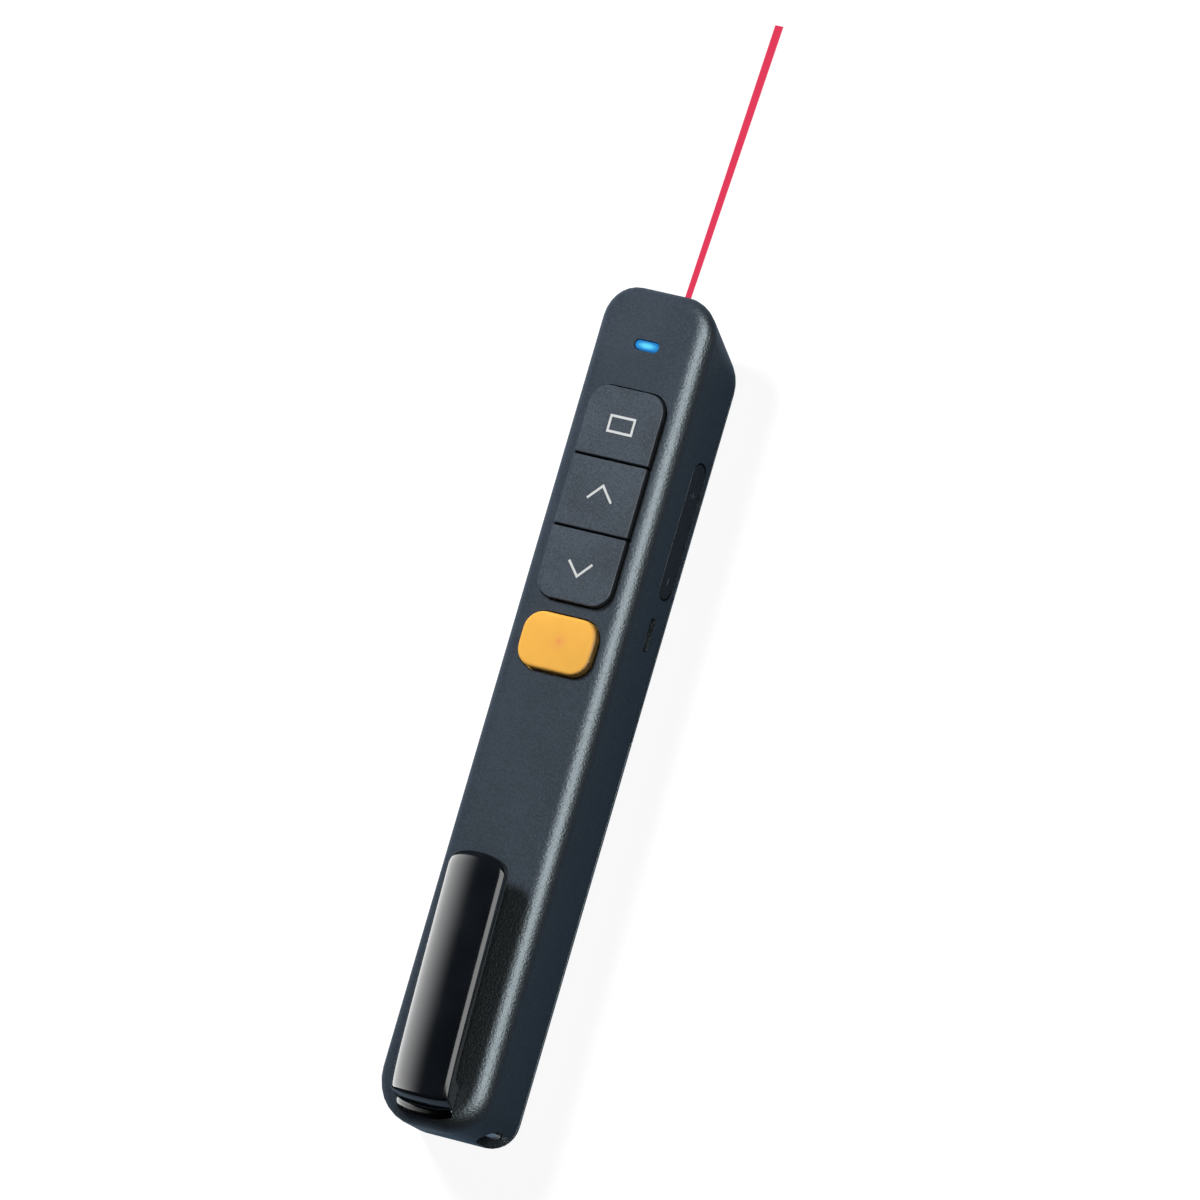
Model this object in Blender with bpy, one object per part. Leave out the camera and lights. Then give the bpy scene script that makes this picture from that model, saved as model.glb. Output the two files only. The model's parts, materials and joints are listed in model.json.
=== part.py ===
"""A wireless presenter with a laser pointer, built as the separate pieces that it comes apart into.

Metres, +Z up. The presenter lies on its flat underside with its laser end towards +Y and its side controls
towards +X. The origin is the middle of the underside's bounding box. Run it in Blender to build the model.
"""

import math

import bmesh
import bpy
from mathutils import Vector

MM = 0.001

# Clearances and walls shared by the whole product
GAP = 0.3 * MM
SNUG_GAP = 0.2 * MM
SOLDER_GAP = 0.15 * MM
WALL = 1.6 * MM
OVERLAP = 0.4 * MM
OVERRUN = 3.0 * MM

# Body
BODY_LENGTH = 144.5 * MM
BODY_WIDTH = 21.6 * MM
BODY_HEIGHT = 15.5 * MM
TOP_RADIUS = 3.2 * MM
BOTTOM_RADIUS = 2.0 * MM
FRONT_CORNER_RADIUS = 6.3 * MM
REAR_FOOT_CORNER_RADIUS = 4.6 * MM
REAR_TOP_CORNER_RADIUS = 8.6 * MM
FRONT_RAKE = 7.9 * MM
SPLIT_HEIGHT = 2.0 * MM

# Keys on the top face, measured back from the front end
KEYS_FROM_FRONT = 17.4 * MM
KEY_SIDE_SPACE = 3.7 * MM
KEY_LENGTH = 12.0 * MM
KEY_SPACE = 0.4 * MM
KEY_PROUD = 1.1 * MM
KEY_CORNER = 3.3 * MM
KEY_EDGE = 0.5 * MM
KEY_LIP = 0.8 * MM
KEY_LIP_THICKNESS = 0.8 * MM
KEY_LIP_INSET = 0.2 * MM
KEY_POST_RADIUS = 1.5 * MM
LASER_BUTTON_SPACE = 2.4 * MM
LASER_BUTTON_SIDE_SPACE = 3.75 * MM
LASER_BUTTON_LENGTH = 9.7 * MM
LASER_BUTTON_PROUD = 1.4 * MM
LASER_BUTTON_CORNER = 3.5 * MM
LASER_BUTTON_EDGE = 0.9 * MM
LASER_BUTTON_LIP = 0.65 * MM

# Status light
LIGHT_FROM_FRONT = 9.6 * MM
LIGHT_WIDTH = 4.4 * MM
LIGHT_LENGTH = 1.5 * MM
LIGHT_SINK = 0.05 * MM
LIGHT_LIP = 0.9 * MM
LIGHT_LIP_THICKNESS = 0.8 * MM
LIGHT_STEM_RADIUS = 0.9 * MM
LED_WIDTH = 1.6 * MM
LED_LENGTH = 0.8 * MM
LED_HEIGHT = 0.7 * MM

# Volume rocker on the right side
ROCKER_FROM_FRONT = 37.35 * MM
ROCKER_LENGTH = 23.3 * MM
ROCKER_HEIGHT = 4.2 * MM
ROCKER_BELOW_BOARD = 3.7 * MM
ROCKER_SINK = 0.05 * MM
ROCKER_LIP = 0.6 * MM
ROCKER_LIP_THICKNESS = 0.7 * MM
ROCKER_LIP_LENGTH = 16.0 * MM
ROCKER_ARM = 7.5 * MM
ROCKER_PAD_RADIUS = 1.2 * MM
ROCKER_PAD_LENGTH = 0.6 * MM
FULCRUM_THICKNESS = 1.2 * MM

# Power slider in its slot on the right side
SLOT_FROM_FRONT = 55.5 * MM
SLOT_LENGTH = 5.9 * MM
SLOT_HEIGHT = 1.7 * MM
SLOT_BELOW_BOARD = 2.55 * MM
SLIDER_TRAVEL = 2.0 * MM
SLIDER_LENGTH = 2.6 * MM
SLIDER_SINK = 0.5 * MM
SLIDER_PLATE_LENGTH = 8.0 * MM
SLIDER_PLATE_HEIGHT = 3.4 * MM
SLIDER_PLATE_THICKNESS = 0.7 * MM
SLIDER_PRONG_THICKNESS = 0.7 * MM
SLIDER_PRONG_LENGTH = 0.8 * MM

# Laser module behind its window in the front end
APERTURE_RADIUS = 1.6 * MM
WINDOW_RADIUS = 2.0 * MM
WINDOW_THICKNESS = 1.0 * MM
COLLAR_RADIUS = 3.0 * MM
COLLAR_DEPTH = 5.2 * MM
COLLAR_BORE_DEPTH = 1.5 * MM
BARREL_RADIUS = 3.0 * MM
BARREL_LENGTH = 13.0 * MM
BARREL_BORE = 2.3 * MM
BARREL_END_WALL = 1.0 * MM
BARREL_REAR_HOLE = 1.2 * MM
LENS_RADIUS = 2.0 * MM
LENS_THICKNESS = 1.5 * MM
LENS_EDGE = 0.7 * MM
LENS_DEPTH = 1.0 * MM
DIODE_FLANGE_RADIUS = 2.0 * MM
DIODE_FLANGE_THICKNESS = 0.9 * MM
DIODE_CAN_RADIUS = 1.6 * MM
DIODE_CAN_LENGTH = 2.4 * MM
DIODE_PIN_RADIUS = 0.25 * MM
DIODE_PIN_SPREAD = 0.6 * MM
DIODE_PIN_LENGTH = 3.0 * MM
DRIVER_WIDTH = 5.6 * MM
DRIVER_LENGTH = 7.0 * MM
DRIVER_THICKNESS = 0.8 * MM
SADDLE_THICKNESS = 1.2 * MM
SADDLE_WIDTH = 7.2 * MM
SADDLE_INSET = 3.0 * MM
LASER_LEAD_RADIUS = 0.5 * MM
LASER_LEAD_RUN = 5.0 * MM

# Circuit board and what is soldered to it
BOARD_BELOW_CEILING = 4.0 * MM
BOARD_THICKNESS = 1.0 * MM
BOARD_SIDE_SPACE = 0.9 * MM
BOARD_FRONT_SPACE = 1.4 * MM
BOARD_CORNER = 4.2 * MM
TACT_SIZE = 4.5 * MM
TACT_HEIGHT = 1.5 * MM
TACT_FLOOR = 0.25 * MM
PLUNGER_RADIUS = 0.8 * MM
PLUNGER_PROUD = 0.5 * MM
SIDE_TACT_DEPTH = 3.2 * MM
SIDE_TACT_LENGTH = 3.6 * MM
SIDE_TACT_BELOW = 1.3 * MM
SIDE_PLUNGER_RADIUS = 0.7 * MM
SIDE_PLUNGER_PROUD = 0.5 * MM
SIDE_PLUNGER_LENGTH = 2.1 * MM
SWITCH_DEPTH = 4.2 * MM
SWITCH_LENGTH = 9.0 * MM
SWITCH_BELOW = 1.5 * MM
LEVER_LENGTH = 1.0 * MM
LEVER_HEIGHT = 1.2 * MM
LEVER_DEPTH = 2.3 * MM
LEVER_PROUD = 0.7 * MM
CHIP_SIZE = 5.0 * MM
CHIP_HEIGHT = 0.9 * MM
CRYSTAL_WIDTH = 2.5 * MM
CRYSTAL_LENGTH = 3.2 * MM
CRYSTAL_HEIGHT = 0.8 * MM
CRYSTAL_OFFSET = 5.4 * MM

# Screws, bosses and posts
BOSS_RADIUS = 2.0 * MM
BOSS_SIDE_SPACE = 0.6 * MM
REAR_BOSS_SPACE = 2.4 * MM
PILOT_DEPTH = 6.0 * MM
CASE_SCREW_HEAD_RADIUS = 1.7 * MM
CASE_SCREW_HEAD_HEIGHT = 0.7 * MM
CASE_SCREW_SINK = 0.1 * MM
CASE_SCREW_RADIUS = 0.8 * MM
CASE_SCREW_LENGTH = 6.5 * MM
POST_RADIUS = 1.7 * MM
POST_SIDE_SPACE = 1.3 * MM
POST_SPACE = 2.7 * MM
BOARD_SCREW_HEAD_RADIUS = 1.4 * MM
BOARD_SCREW_HEAD_HEIGHT = 0.8 * MM
BOARD_SCREW_RADIUS = 0.7 * MM
BOARD_SCREW_LENGTH = 4.0 * MM
RECESS_ARM = 0.9 * MM
RECESS_WIDTH = 0.4 * MM
RECESS_DEPTH = 0.35 * MM

# Receiver, its bay and the battery bay, measured forward from the rear end
RECEIVER_HEAD_WIDTH = 14.0 * MM
RECEIVER_HEAD_LENGTH = 5.8 * MM
RECEIVER_HEAD_HEIGHT = 6.2 * MM
RECEIVER_CORNER = 2.0 * MM
RECEIVER_REAR_SPACE = 1.0 * MM
RECEIVER_OFFSET = 1.4 * MM
PLUG_WIDTH = 12.0 * MM
PLUG_LENGTH = 11.8 * MM
PLUG_HEIGHT = 4.5 * MM
PLUG_SHEET = 0.35 * MM
TONGUE_THICKNESS = 1.5 * MM
TONGUE_SHORT = 0.5 * MM
RECEIVER_RIB = 1.0 * MM
RECEIVER_RIB_SPACE = 6.0 * MM
PARTITION = 1.0 * MM
PARTITION_LIFT = 0.3 * MM
CELL_RADIUS = 5.25 * MM
CELL_LENGTH = 44.5 * MM
CELL_NUB_RADIUS = 1.8 * MM
CELL_NUB_LENGTH = 1.0 * MM
CELL_EDGE = 0.4 * MM
CELL_FLOOR_SPACE = 0.75 * MM
CONTACT_THICKNESS = 0.4 * MM
CONTACT_WIDTH = 9.0 * MM
CONTACT_HEIGHT = 8.5 * MM
CONTACT_ABOVE_BOARD = 2.2 * MM
CONTACT_TAB_WIDTH = 2.0 * MM
CONTACT_TAB_LENGTH = 3.0 * MM
SPRING_LENGTH = 3.3 * MM
SPRING_WIRE_RADIUS = 0.25 * MM
SPRING_BASE_RADIUS = 3.3 * MM
SPRING_TIP_RADIUS = 2.0 * MM
LEAD_RADIUS = 0.45 * MM
LEAD_SIDE_SPACE = 1.05 * MM
LEAD_LEVEL = 5.0 * MM
LEAD_RUN_ON = 6.0 * MM
LEAD_BEND = 3.0 * MM

# Battery cover: the rear part of the underside
COVER_TRAVEL = 5.5 * MM
HOOK_LENGTH = 4.0 * MM
HOOK_THICKNESS = 0.9 * MM
HOOK_LIP_HEIGHT = 0.75 * MM
HOOK_FRONT_SPACE = 9.0 * MM
LEDGE_HEIGHT = 0.7 * MM
LEDGE_DEPTH = 1.0 * MM
LEDGE_EXTRA = 0.5 * MM
GRIP_WIDTH = 9.0 * MM
GRIP_LENGTH = 0.9 * MM
GRIP_DEPTH = 0.4 * MM
GRIP_PITCH = 1.9 * MM
GRIP_FROM_FRONT = 6.0 * MM

# Locating tabs of the front part of the underside
TAB_LENGTH = 5.0 * MM
TAB_THICKNESS = 0.9 * MM
TAB_HEIGHT = 1.6 * MM
TAB_FRONT_SPACE = 21.8 * MM
TAB_REAR_SPACE = 8.0 * MM

# Pocket clip over the rear of the top face
CLIP_WIDTH = 11.0 * MM
CLIP_THICKNESS = 1.7 * MM
CLIP_CROWN = 0.7 * MM
CLIP_EDGE = 0.5 * MM
CLIP_END_INSET = 1.3 * MM
CLIP_END_RISE = 0.05 * MM
CLIP_TOE_STEP = 1.35 * MM
CLIP_TOE_RISE = 0.55 * MM
CLIP_HEEL_STEP = 2.05 * MM
CLIP_HEEL_RISE = 2.55 * MM
CLIP_BACK_STEP = 3.3 * MM
CLIP_BACK_RISE = 3.75 * MM
CLIP_SHOULDER_STEP = 6.0 * MM
CLIP_SHOULDER_RISE = 4.6 * MM
CLIP_ARM_STEP = 31.9 * MM
CLIP_TIP_RISE = 6.3 * MM
CLIP_TIP_DEPTH = 3.4 * MM
CLIP_FOOT_LENGTH = 5.6 * MM
CLIP_FOOT_FILLET = 2.0 * MM
CLIP_TONGUE_WIDTH = 6.4 * MM
CLIP_TONGUE_THICKNESS = 1.8 * MM
CLIP_TONGUE_FROM_END = 3.7 * MM
CLIP_BARB = 0.6 * MM
CLIP_BARB_HEIGHT = 0.8 * MM
CLIP_BARB_DROP = 0.8 * MM
CLIP_AXIS_FROM_END = 0.9 * MM
CLIP_AXIS_SINK = 0.5 * MM

# Strap eye in the rear right corner
STRAP_ANGLE = math.radians(30)
STRAP_EYE_WIDTH = 4.4 * MM
STRAP_EYE_HEIGHT = 7.9 * MM
STRAP_BAR_RADIUS = 0.8 * MM
STRAP_BAR_DEPTH = 2.2 * MM
STRAP_BAR_SEAT = 1.0 * MM
STRAP_BOSS_RADIUS = 1.7 * MM

# Curve finenesses and counts
CORNER_STEPS = 7
EDGE_STEPS = 5
ROUND_SIDES = 28
SMALL_SIDES = 16
CLIP_STEPS = 4
CLIP_TIP_STEPS = 9
CLIP_CROWN_STEPS = 8
KEY_COUNT = 3
GRIP_COUNT = 4
SPRING_TURNS = 3
SPRING_TURN_POINTS = 10

# The clip's tip in plan is a squared ellipse with this exponent, and its last ring stops short of the end
CLIP_TIP_SHARE = 2.6
CLIP_LAST_SHARE = 0.94

# Places worked out from the sizes above
FRONT_END = BODY_LENGTH / 2
REAR_END = -BODY_LENGTH / 2
TOP = BODY_HEIGHT
CEILING = TOP - WALL
SIDE = BODY_WIDTH / 2
SIDE_INNER = SIDE - WALL
FRONT_SLOPE = FRONT_RAKE / BODY_HEIGHT
SLANT_SHARE = math.hypot(1, FRONT_SLOPE)
FRONT_TOP = FRONT_END + TOP_RADIUS * (1 + FRONT_SLOPE - SLANT_SHARE)
SPLIT_UNDER = SPLIT_HEIGHT - GAP / 2
SPLIT_OVER = SPLIT_HEIGHT + GAP / 2

KEY_WIDTH = BODY_WIDTH - 2 * KEY_SIDE_SPACE
LASER_BUTTON_WIDTH = BODY_WIDTH - 2 * LASER_BUTTON_SIDE_SPACE
KEYS_FRONT = FRONT_END - KEYS_FROM_FRONT
KEY_PITCH = KEY_LENGTH + KEY_SPACE
KEYS_REAR = KEYS_FRONT - KEY_COUNT * KEY_PITCH + KEY_SPACE
LASER_BUTTON_Y = KEYS_REAR - LASER_BUTTON_SPACE - LASER_BUTTON_LENGTH / 2
LIGHT_Y = FRONT_END - LIGHT_FROM_FRONT
ROCKER_Y = FRONT_END - ROCKER_FROM_FRONT
SLOT_Y = FRONT_END - SLOT_FROM_FRONT
SLIDER_Y = SLOT_Y - SLIDER_TRAVEL / 2

BOARD_TOP = CEILING - BOARD_BELOW_CEILING
BOARD_UNDER = BOARD_TOP - BOARD_THICKNESS
ROCKER_LEVEL = BOARD_UNDER - ROCKER_BELOW_BOARD
SLOT_LEVEL = BOARD_UNDER - SLOT_BELOW_BOARD
LASER_LEVEL = BOARD_UNDER - GAP - BARREL_RADIUS
TACT_UNDER = BOARD_TOP + SOLDER_GAP
TACT_TOP = TACT_UNDER + TACT_HEIGHT
PLUNGER_TOP = TACT_TOP + PLUNGER_PROUD
LIP_TOP = CEILING - GAP
LIP_UNDER = LIP_TOP - KEY_LIP_THICKNESS

RECEIVER_REAR = REAR_END + WALL + RECEIVER_REAR_SPACE
RECEIVER_HEAD_FRONT = RECEIVER_REAR + RECEIVER_HEAD_LENGTH
PLUG_FRONT = RECEIVER_HEAD_FRONT + SNUG_GAP + PLUG_LENGTH
RECEIVER_UNDER = SPLIT_OVER
RECEIVER_LEVEL = RECEIVER_UNDER + RECEIVER_HEAD_HEIGHT / 2
RECEIVER_TOP = RECEIVER_UNDER + RECEIVER_HEAD_HEIGHT
REAR_PARTITION = PLUG_FRONT + SNUG_GAP
SPRING_PLATE_REAR = REAR_PARTITION + PARTITION + SNUG_GAP
SPRING_REAR = SPRING_PLATE_REAR + CONTACT_THICKNESS + GAP
CELL_REAR = SPRING_REAR + SPRING_LENGTH + GAP
CELL_FRONT = CELL_REAR + CELL_LENGTH
POSITIVE_REAR = CELL_FRONT + GAP
FRONT_PARTITION = POSITIVE_REAR + CONTACT_THICKNESS + SNUG_GAP
PARTITION_FRONT = FRONT_PARTITION + PARTITION
CELL_LEVEL = SPLIT_UNDER + CELL_FLOOR_SPACE + CELL_RADIUS
COVER_FRONT = FRONT_PARTITION - GAP
LOWER_REAR = COVER_FRONT + GAP

BOARD_REAR = PARTITION_FRONT + GAP
BOARD_FRONT = FRONT_TOP - FRONT_SLOPE * (TOP - BOARD_TOP) - WALL * SLANT_SHARE - BOARD_FRONT_SPACE
BOSS_OFFSET = SIDE_INNER - BOSS_SIDE_SPACE - BOSS_RADIUS
POST_OFFSET = SIDE_INNER - POST_SIDE_SPACE - POST_RADIUS
LEAD_OFFSET = SIDE_INNER - LEAD_SIDE_SPACE - LEAD_RADIUS
SPRING_TAB_END = LEAD_OFFSET - SNUG_GAP
BOSS_FRONT_Y = KEYS_FRONT + BOSS_RADIUS
BOSS_REAR_Y = PARTITION_FRONT + REAR_BOSS_SPACE
POST_Y = PARTITION_FRONT + POST_SPACE
COLLAR_REAR = FRONT_TOP - FRONT_SLOPE * (TOP - LASER_LEVEL) - COLLAR_DEPTH
WINDOW_STEP = COLLAR_REAR + COLLAR_BORE_DEPTH
BARREL_FRONT = COLLAR_REAR - GAP
BARREL_REAR = BARREL_FRONT - BARREL_LENGTH
DIODE_REAR = BARREL_REAR + BARREL_END_WALL + GAP
DRIVER_FRONT = DIODE_REAR - DIODE_PIN_LENGTH - GAP

CASE_SCREWS = {
    "front_left": (-BOSS_OFFSET, BOSS_FRONT_Y),
    "front_right": (BOSS_OFFSET, BOSS_FRONT_Y),
    "rear": (0, BOSS_REAR_Y),
}
BOARD_SCREWS = {"left": (-POST_OFFSET, POST_Y), "right": (POST_OFFSET, POST_Y)}

STRAP_OUT = Vector((math.sin(STRAP_ANGLE), -math.cos(STRAP_ANGLE), 0))
STRAP_ALONG = Vector((math.cos(STRAP_ANGLE), math.sin(STRAP_ANGLE), 0))
REAR_CORNER = Vector((SIDE - REAR_FOOT_CORNER_RADIUS, REAR_END + REAR_FOOT_CORNER_RADIUS, 0))
STRAP_BAR_AT = REAR_CORNER + STRAP_OUT * (REAR_FOOT_CORNER_RADIUS - STRAP_BAR_DEPTH)
STRAP_BAR_TOP = STRAP_EYE_HEIGHT + GAP + STRAP_BAR_SEAT

CLIP_REAR = REAR_END + CLIP_END_INSET
CLIP_TOE = CLIP_REAR + CLIP_TOE_STEP
CLIP_HEEL = CLIP_TOE + CLIP_HEEL_STEP
CLIP_BACK = CLIP_HEEL + CLIP_BACK_STEP
CLIP_SHOULDER = CLIP_BACK + CLIP_SHOULDER_STEP
CLIP_TIP = CLIP_SHOULDER + CLIP_ARM_STEP
CLIP_TONGUE_Y = CLIP_REAR + CLIP_TONGUE_FROM_END
CLIP_AXIS_Y = CLIP_REAR + CLIP_AXIS_FROM_END
CLIP_AXIS_LEVEL = TOP - CLIP_AXIS_SINK


# Scene and materials


def clear_scene():
    for item in list(bpy.data.objects):
        bpy.data.objects.remove(item, do_unlink=True)


def finish(name, colour, roughness, metallic=0.0, alpha=1.0):
    """A Principled material with one colour."""
    material = bpy.data.materials.new(name)
    material.use_nodes = True
    shader = material.node_tree.nodes["Principled BSDF"]
    shader.inputs["Base Color"].default_value = (*colour, 1.0)
    shader.inputs["Roughness"].default_value = roughness
    shader.inputs["Metallic"].default_value = metallic
    shader.inputs["Alpha"].default_value = alpha
    material.diffuse_color = (*colour, alpha)
    return material


# Shapes: each returns a closed bmesh in world coordinates


def stacked(rings):
    """A closed skin over rings of equally many points, with a face over each end."""
    shape = bmesh.new()
    rows = [[shape.verts.new(point) for point in ring] for ring in rings]
    count = len(rows[0])
    for lower, upper in zip(rows, rows[1:], strict=False):
        for i in range(count):
            j = (i + 1) % count
            shape.faces.new((lower[i], lower[j], upper[j], upper[i]))
    shape.faces.new(list(reversed(rows[0])))
    shape.faces.new(rows[-1])
    bmesh.ops.recalc_face_normals(shape, faces=shape.faces)
    return shape


def rounded_outline(low, high, front_radius, rear_radius, steps=CORNER_STEPS):
    """Points round a rectangle from low to high, whose corners at high v and low v have their own radii."""
    corners = (
        (high[0], high[1], front_radius, 0, -1, -1),
        (low[0], high[1], front_radius, 1, 1, -1),
        (low[0], low[1], rear_radius, 2, 1, 1),
        (high[0], low[1], rear_radius, 3, -1, 1),
    )
    points = []
    for u, v, radius, quarter, inward_u, inward_v in corners:
        centre_u = u + inward_u * radius
        centre_v = v + inward_v * radius
        for k in range(steps + 1):
            angle = math.pi / 2 * (quarter + k / steps)
            points.append((centre_u + radius * math.cos(angle), centre_v + radius * math.sin(angle)))
    return points


def circle_outline(centre, radius, sides=ROUND_SIDES):
    angles = [2 * math.pi * k / sides for k in range(sides)]
    return [(centre[0] + radius * math.cos(a), centre[1] + radius * math.sin(a)) for a in angles]


def placed(u, v, level, axis):
    """The point at u, v on a plane across an axis: X carries y, z; Y carries x, z; Z carries x, y."""
    return {"X": (level, u, v), "Y": (u, level, v), "Z": (u, v, level)}[axis]


def prism(outline, low, high, axis="Z"):
    return stacked([[placed(u, v, level, axis) for u, v in outline] for level in (low, high)])


def block(low, high):
    outline = [(low[0], low[1]), (high[0], low[1]), (high[0], high[1]), (low[0], high[1])]
    return prism(outline, low[2], high[2])


def rod(centre, radius, low, high, axis="Z", sides=ROUND_SIDES):
    return prism(circle_outline(centre, radius, sides), low, high, axis)


def turned(centre, profile, axis="Y", sides=ROUND_SIDES):
    """A round solid along an axis, from (radius, level) pairs."""
    rings = []
    for radius, level in profile:
        rings.append([placed(u, v, level, axis) for u, v in circle_outline(centre, radius, sides)])
    return stacked(rings)


def edged_prism(outline_at, low, high, edge):
    """An upright prism whose top edge is rounded; outline_at gives the outline for an inset."""
    rings = [[(u, v, low) for u, v in outline_at(0)]]
    for k in range(EDGE_STEPS):
        angle = math.pi / 2 * k / (EDGE_STEPS - 1)
        inset = edge * (1 - math.cos(angle))
        level = high - edge + edge * math.sin(angle)
        rings.append([(u, v, level) for u, v in outline_at(inset)])
    return stacked(rings)


def piece(name, shape, material, origin=(0, 0, 0)):
    """Turns a bmesh into a named object with its origin at a point."""
    bmesh.ops.translate(shape, verts=shape.verts, vec=-Vector(origin))
    mesh = bpy.data.meshes.new(name)
    shape.to_mesh(mesh)
    shape.free()
    mesh.shade_smooth()
    mesh.set_sharp_from_angle(angle=math.radians(35))
    mesh.materials.append(material)
    item = bpy.data.objects.new(name, mesh)
    item.location = origin
    bpy.context.scene.collection.objects.link(item)
    return item


def tool(name, shape):
    """A hidden solid that cuts or joins another."""
    mesh = bpy.data.meshes.new(name)
    shape.to_mesh(mesh)
    shape.free()
    item = bpy.data.objects.new(name, mesh)
    item.hide_render = True
    item.display_type = "WIRE"
    bpy.context.scene.collection.objects.link(item)
    return item


def combine(target, operation, name, shape):
    """Adds one Boolean to a target, whose other solid is a bmesh or an object that is already made."""
    other = shape if isinstance(shape, bpy.types.Object) else tool(f"{target.name}_{name}", shape)
    modifier = target.modifiers.new(name, "BOOLEAN")
    modifier.operation = operation
    modifier.solver = "EXACT"
    modifier.object = other
    return other


def cut(target, name, shape):
    return combine(target, "DIFFERENCE", name, shape)


def join(target, name, shape):
    return combine(target, "UNION", name, shape)


# The body's form


def edge_inset(z, offset, open_below):
    """How far the rounded edges draw the outline in at a height, on a form offset inwards."""
    top_radius = TOP_RADIUS - offset
    top_start = TOP - offset - top_radius
    if z > top_start:
        rise = min(z - top_start, top_radius)
        return top_radius - math.sqrt(top_radius**2 - rise**2)
    if z < BOTTOM_RADIUS and not open_below:
        fall = min(BOTTOM_RADIUS - z, BOTTOM_RADIUS)
        return BOTTOM_RADIUS - math.sqrt(BOTTOM_RADIUS**2 - fall**2)
    return 0


def body_levels(low, high, offset):
    """The heights of the form's rings: its ends, and steps round its rounded edges."""
    top_radius = TOP_RADIUS - offset
    angles = [math.pi / 2 * k / (EDGE_STEPS + 1) for k in range(EDGE_STEPS + 2)]
    rounded = [BOTTOM_RADIUS * (1 - math.cos(a)) for a in angles]
    rounded += [TOP - offset - top_radius + top_radius * math.sin(a) for a in angles]
    least_step = GAP / 2
    inside = [z for z in rounded if low + least_step < z < high - least_step / 4]
    return [low, *inside, high]


def body_form(offset, low, high, open_below=False):
    """The body's outer form from low to high, offset inwards by a wall."""
    rings = []
    for z in body_levels(low, high, offset):
        inset = offset + edge_inset(z, offset, open_below)
        front = FRONT_TOP - FRONT_SLOPE * (TOP - z) - offset * (SLANT_SHARE - 1) - inset
        rear_radius = REAR_FOOT_CORNER_RADIUS + (REAR_TOP_CORNER_RADIUS - REAR_FOOT_CORNER_RADIUS) * z / TOP
        outline = rounded_outline(
            (-SIDE + inset, REAR_END + inset),
            (SIDE - inset, front),
            FRONT_CORNER_RADIUS - inset,
            rear_radius - inset,
        )
        rings.append([(u, v, z) for u, v in outline])
    return stacked(rings)


def key_outline(low, high, front_radius, rear_radius):
    """A key's outline between two corners as a function of an inset; square corners keep a small radius."""

    def outline_at(inset):
        return rounded_outline(
            (low[0] + inset, low[1] + inset),
            (high[0] - inset, high[1] - inset),
            max(front_radius - inset, KEY_EDGE / 2),
            max(rear_radius - inset, KEY_EDGE / 2),
        )

    return outline_at


# Casing


def make_upper_shell(plastic):
    """The deep top half: roof, sides and ends in one, open below."""
    shell = piece("upper_shell", body_form(0, SPLIT_OVER, TOP), plastic)
    cut(shell, "cavity", body_form(WALL, -OVERRUN, CEILING, open_below=True))
    add_shell_bosses(shell)
    add_bay_walls(shell)
    add_cover_ledges(shell)
    add_laser_collar(shell)
    cut_top_openings(shell)
    cut_side_openings(shell)
    cut_strap_eye(shell)
    return shell


def add_shell_bosses(shell):
    for name, (x, y) in CASE_SCREWS.items():
        boss = rod((x, y), BOSS_RADIUS, SPLIT_OVER, CEILING + OVERLAP, sides=SMALL_SIDES)
        join(shell, f"boss_{name}", boss)
        pilot = CASE_SCREW_RADIUS + GAP
        cut(shell, f"pilot_{name}", rod((x, y), pilot, 0, SPLIT_OVER + PILOT_DEPTH, sides=SMALL_SIDES))
    for name, (x, y) in BOARD_SCREWS.items():
        low = BOARD_TOP + SNUG_GAP
        join(shell, f"post_{name}", rod((x, y), POST_RADIUS, low, CEILING + OVERLAP, sides=SMALL_SIDES))
        pilot = BOARD_SCREW_RADIUS + GAP
        depth = BOARD_UNDER - GAP + BOARD_SCREW_LENGTH + GAP
        cut(shell, f"post_pilot_{name}", rod((x, y), pilot, BOARD_UNDER, depth, sides=SMALL_SIDES))


def add_bay_walls(shell):
    """The walls ahead of and behind the battery cell, and the ribs over the receiver."""
    reach = SIDE_INNER + OVERLAP
    low = hook_top() + GAP
    tab_low = BOARD_TOP - PARTITION_LIFT
    high = CEILING + OVERLAP
    join(shell, "front_wall", block((-reach, FRONT_PARTITION, SPLIT_OVER), (reach, PARTITION_FRONT, high)))
    join(shell, "rear_wall", block((-reach, REAR_PARTITION, low), (reach, REAR_PARTITION + PARTITION, high)))
    tab_high = tab_low + CONTACT_THICKNESS + 2 * GAP + PARTITION_LIFT
    tab_slot = block(
        (CONTACT_WIDTH / 2 - CONTACT_TAB_WIDTH - GAP, FRONT_PARTITION - OVERLAP, tab_low),
        (CONTACT_WIDTH / 2 + GAP, PARTITION_FRONT + OVERLAP, tab_high),
    )
    cut(shell, "tab_slot", tab_slot)
    lead_hole = rod(
        (-LEAD_OFFSET, LEAD_LEVEL),
        LEAD_RADIUS + GAP,
        FRONT_PARTITION - OVERLAP,
        PARTITION_FRONT + OVERLAP,
        "Y",
        SMALL_SIDES,
    )
    cut(shell, "lead_hole", lead_hole)
    rib_half = RECEIVER_HEAD_WIDTH / 2
    for k in range(2):
        rear = PLUG_FRONT - RECEIVER_RIB_SPACE * (k + 1 / 2)
        low_corner = (-RECEIVER_OFFSET - rib_half, rear, RECEIVER_TOP + GAP)
        high_corner = (-RECEIVER_OFFSET + rib_half, rear + RECEIVER_RIB, CEILING + OVERLAP)
        join(shell, f"receiver_rib_{k}", block(low_corner, high_corner))


def hook_top():
    return SPLIT_OVER + LEDGE_HEIGHT + GAP + HOOK_LIP_HEIGHT


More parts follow.
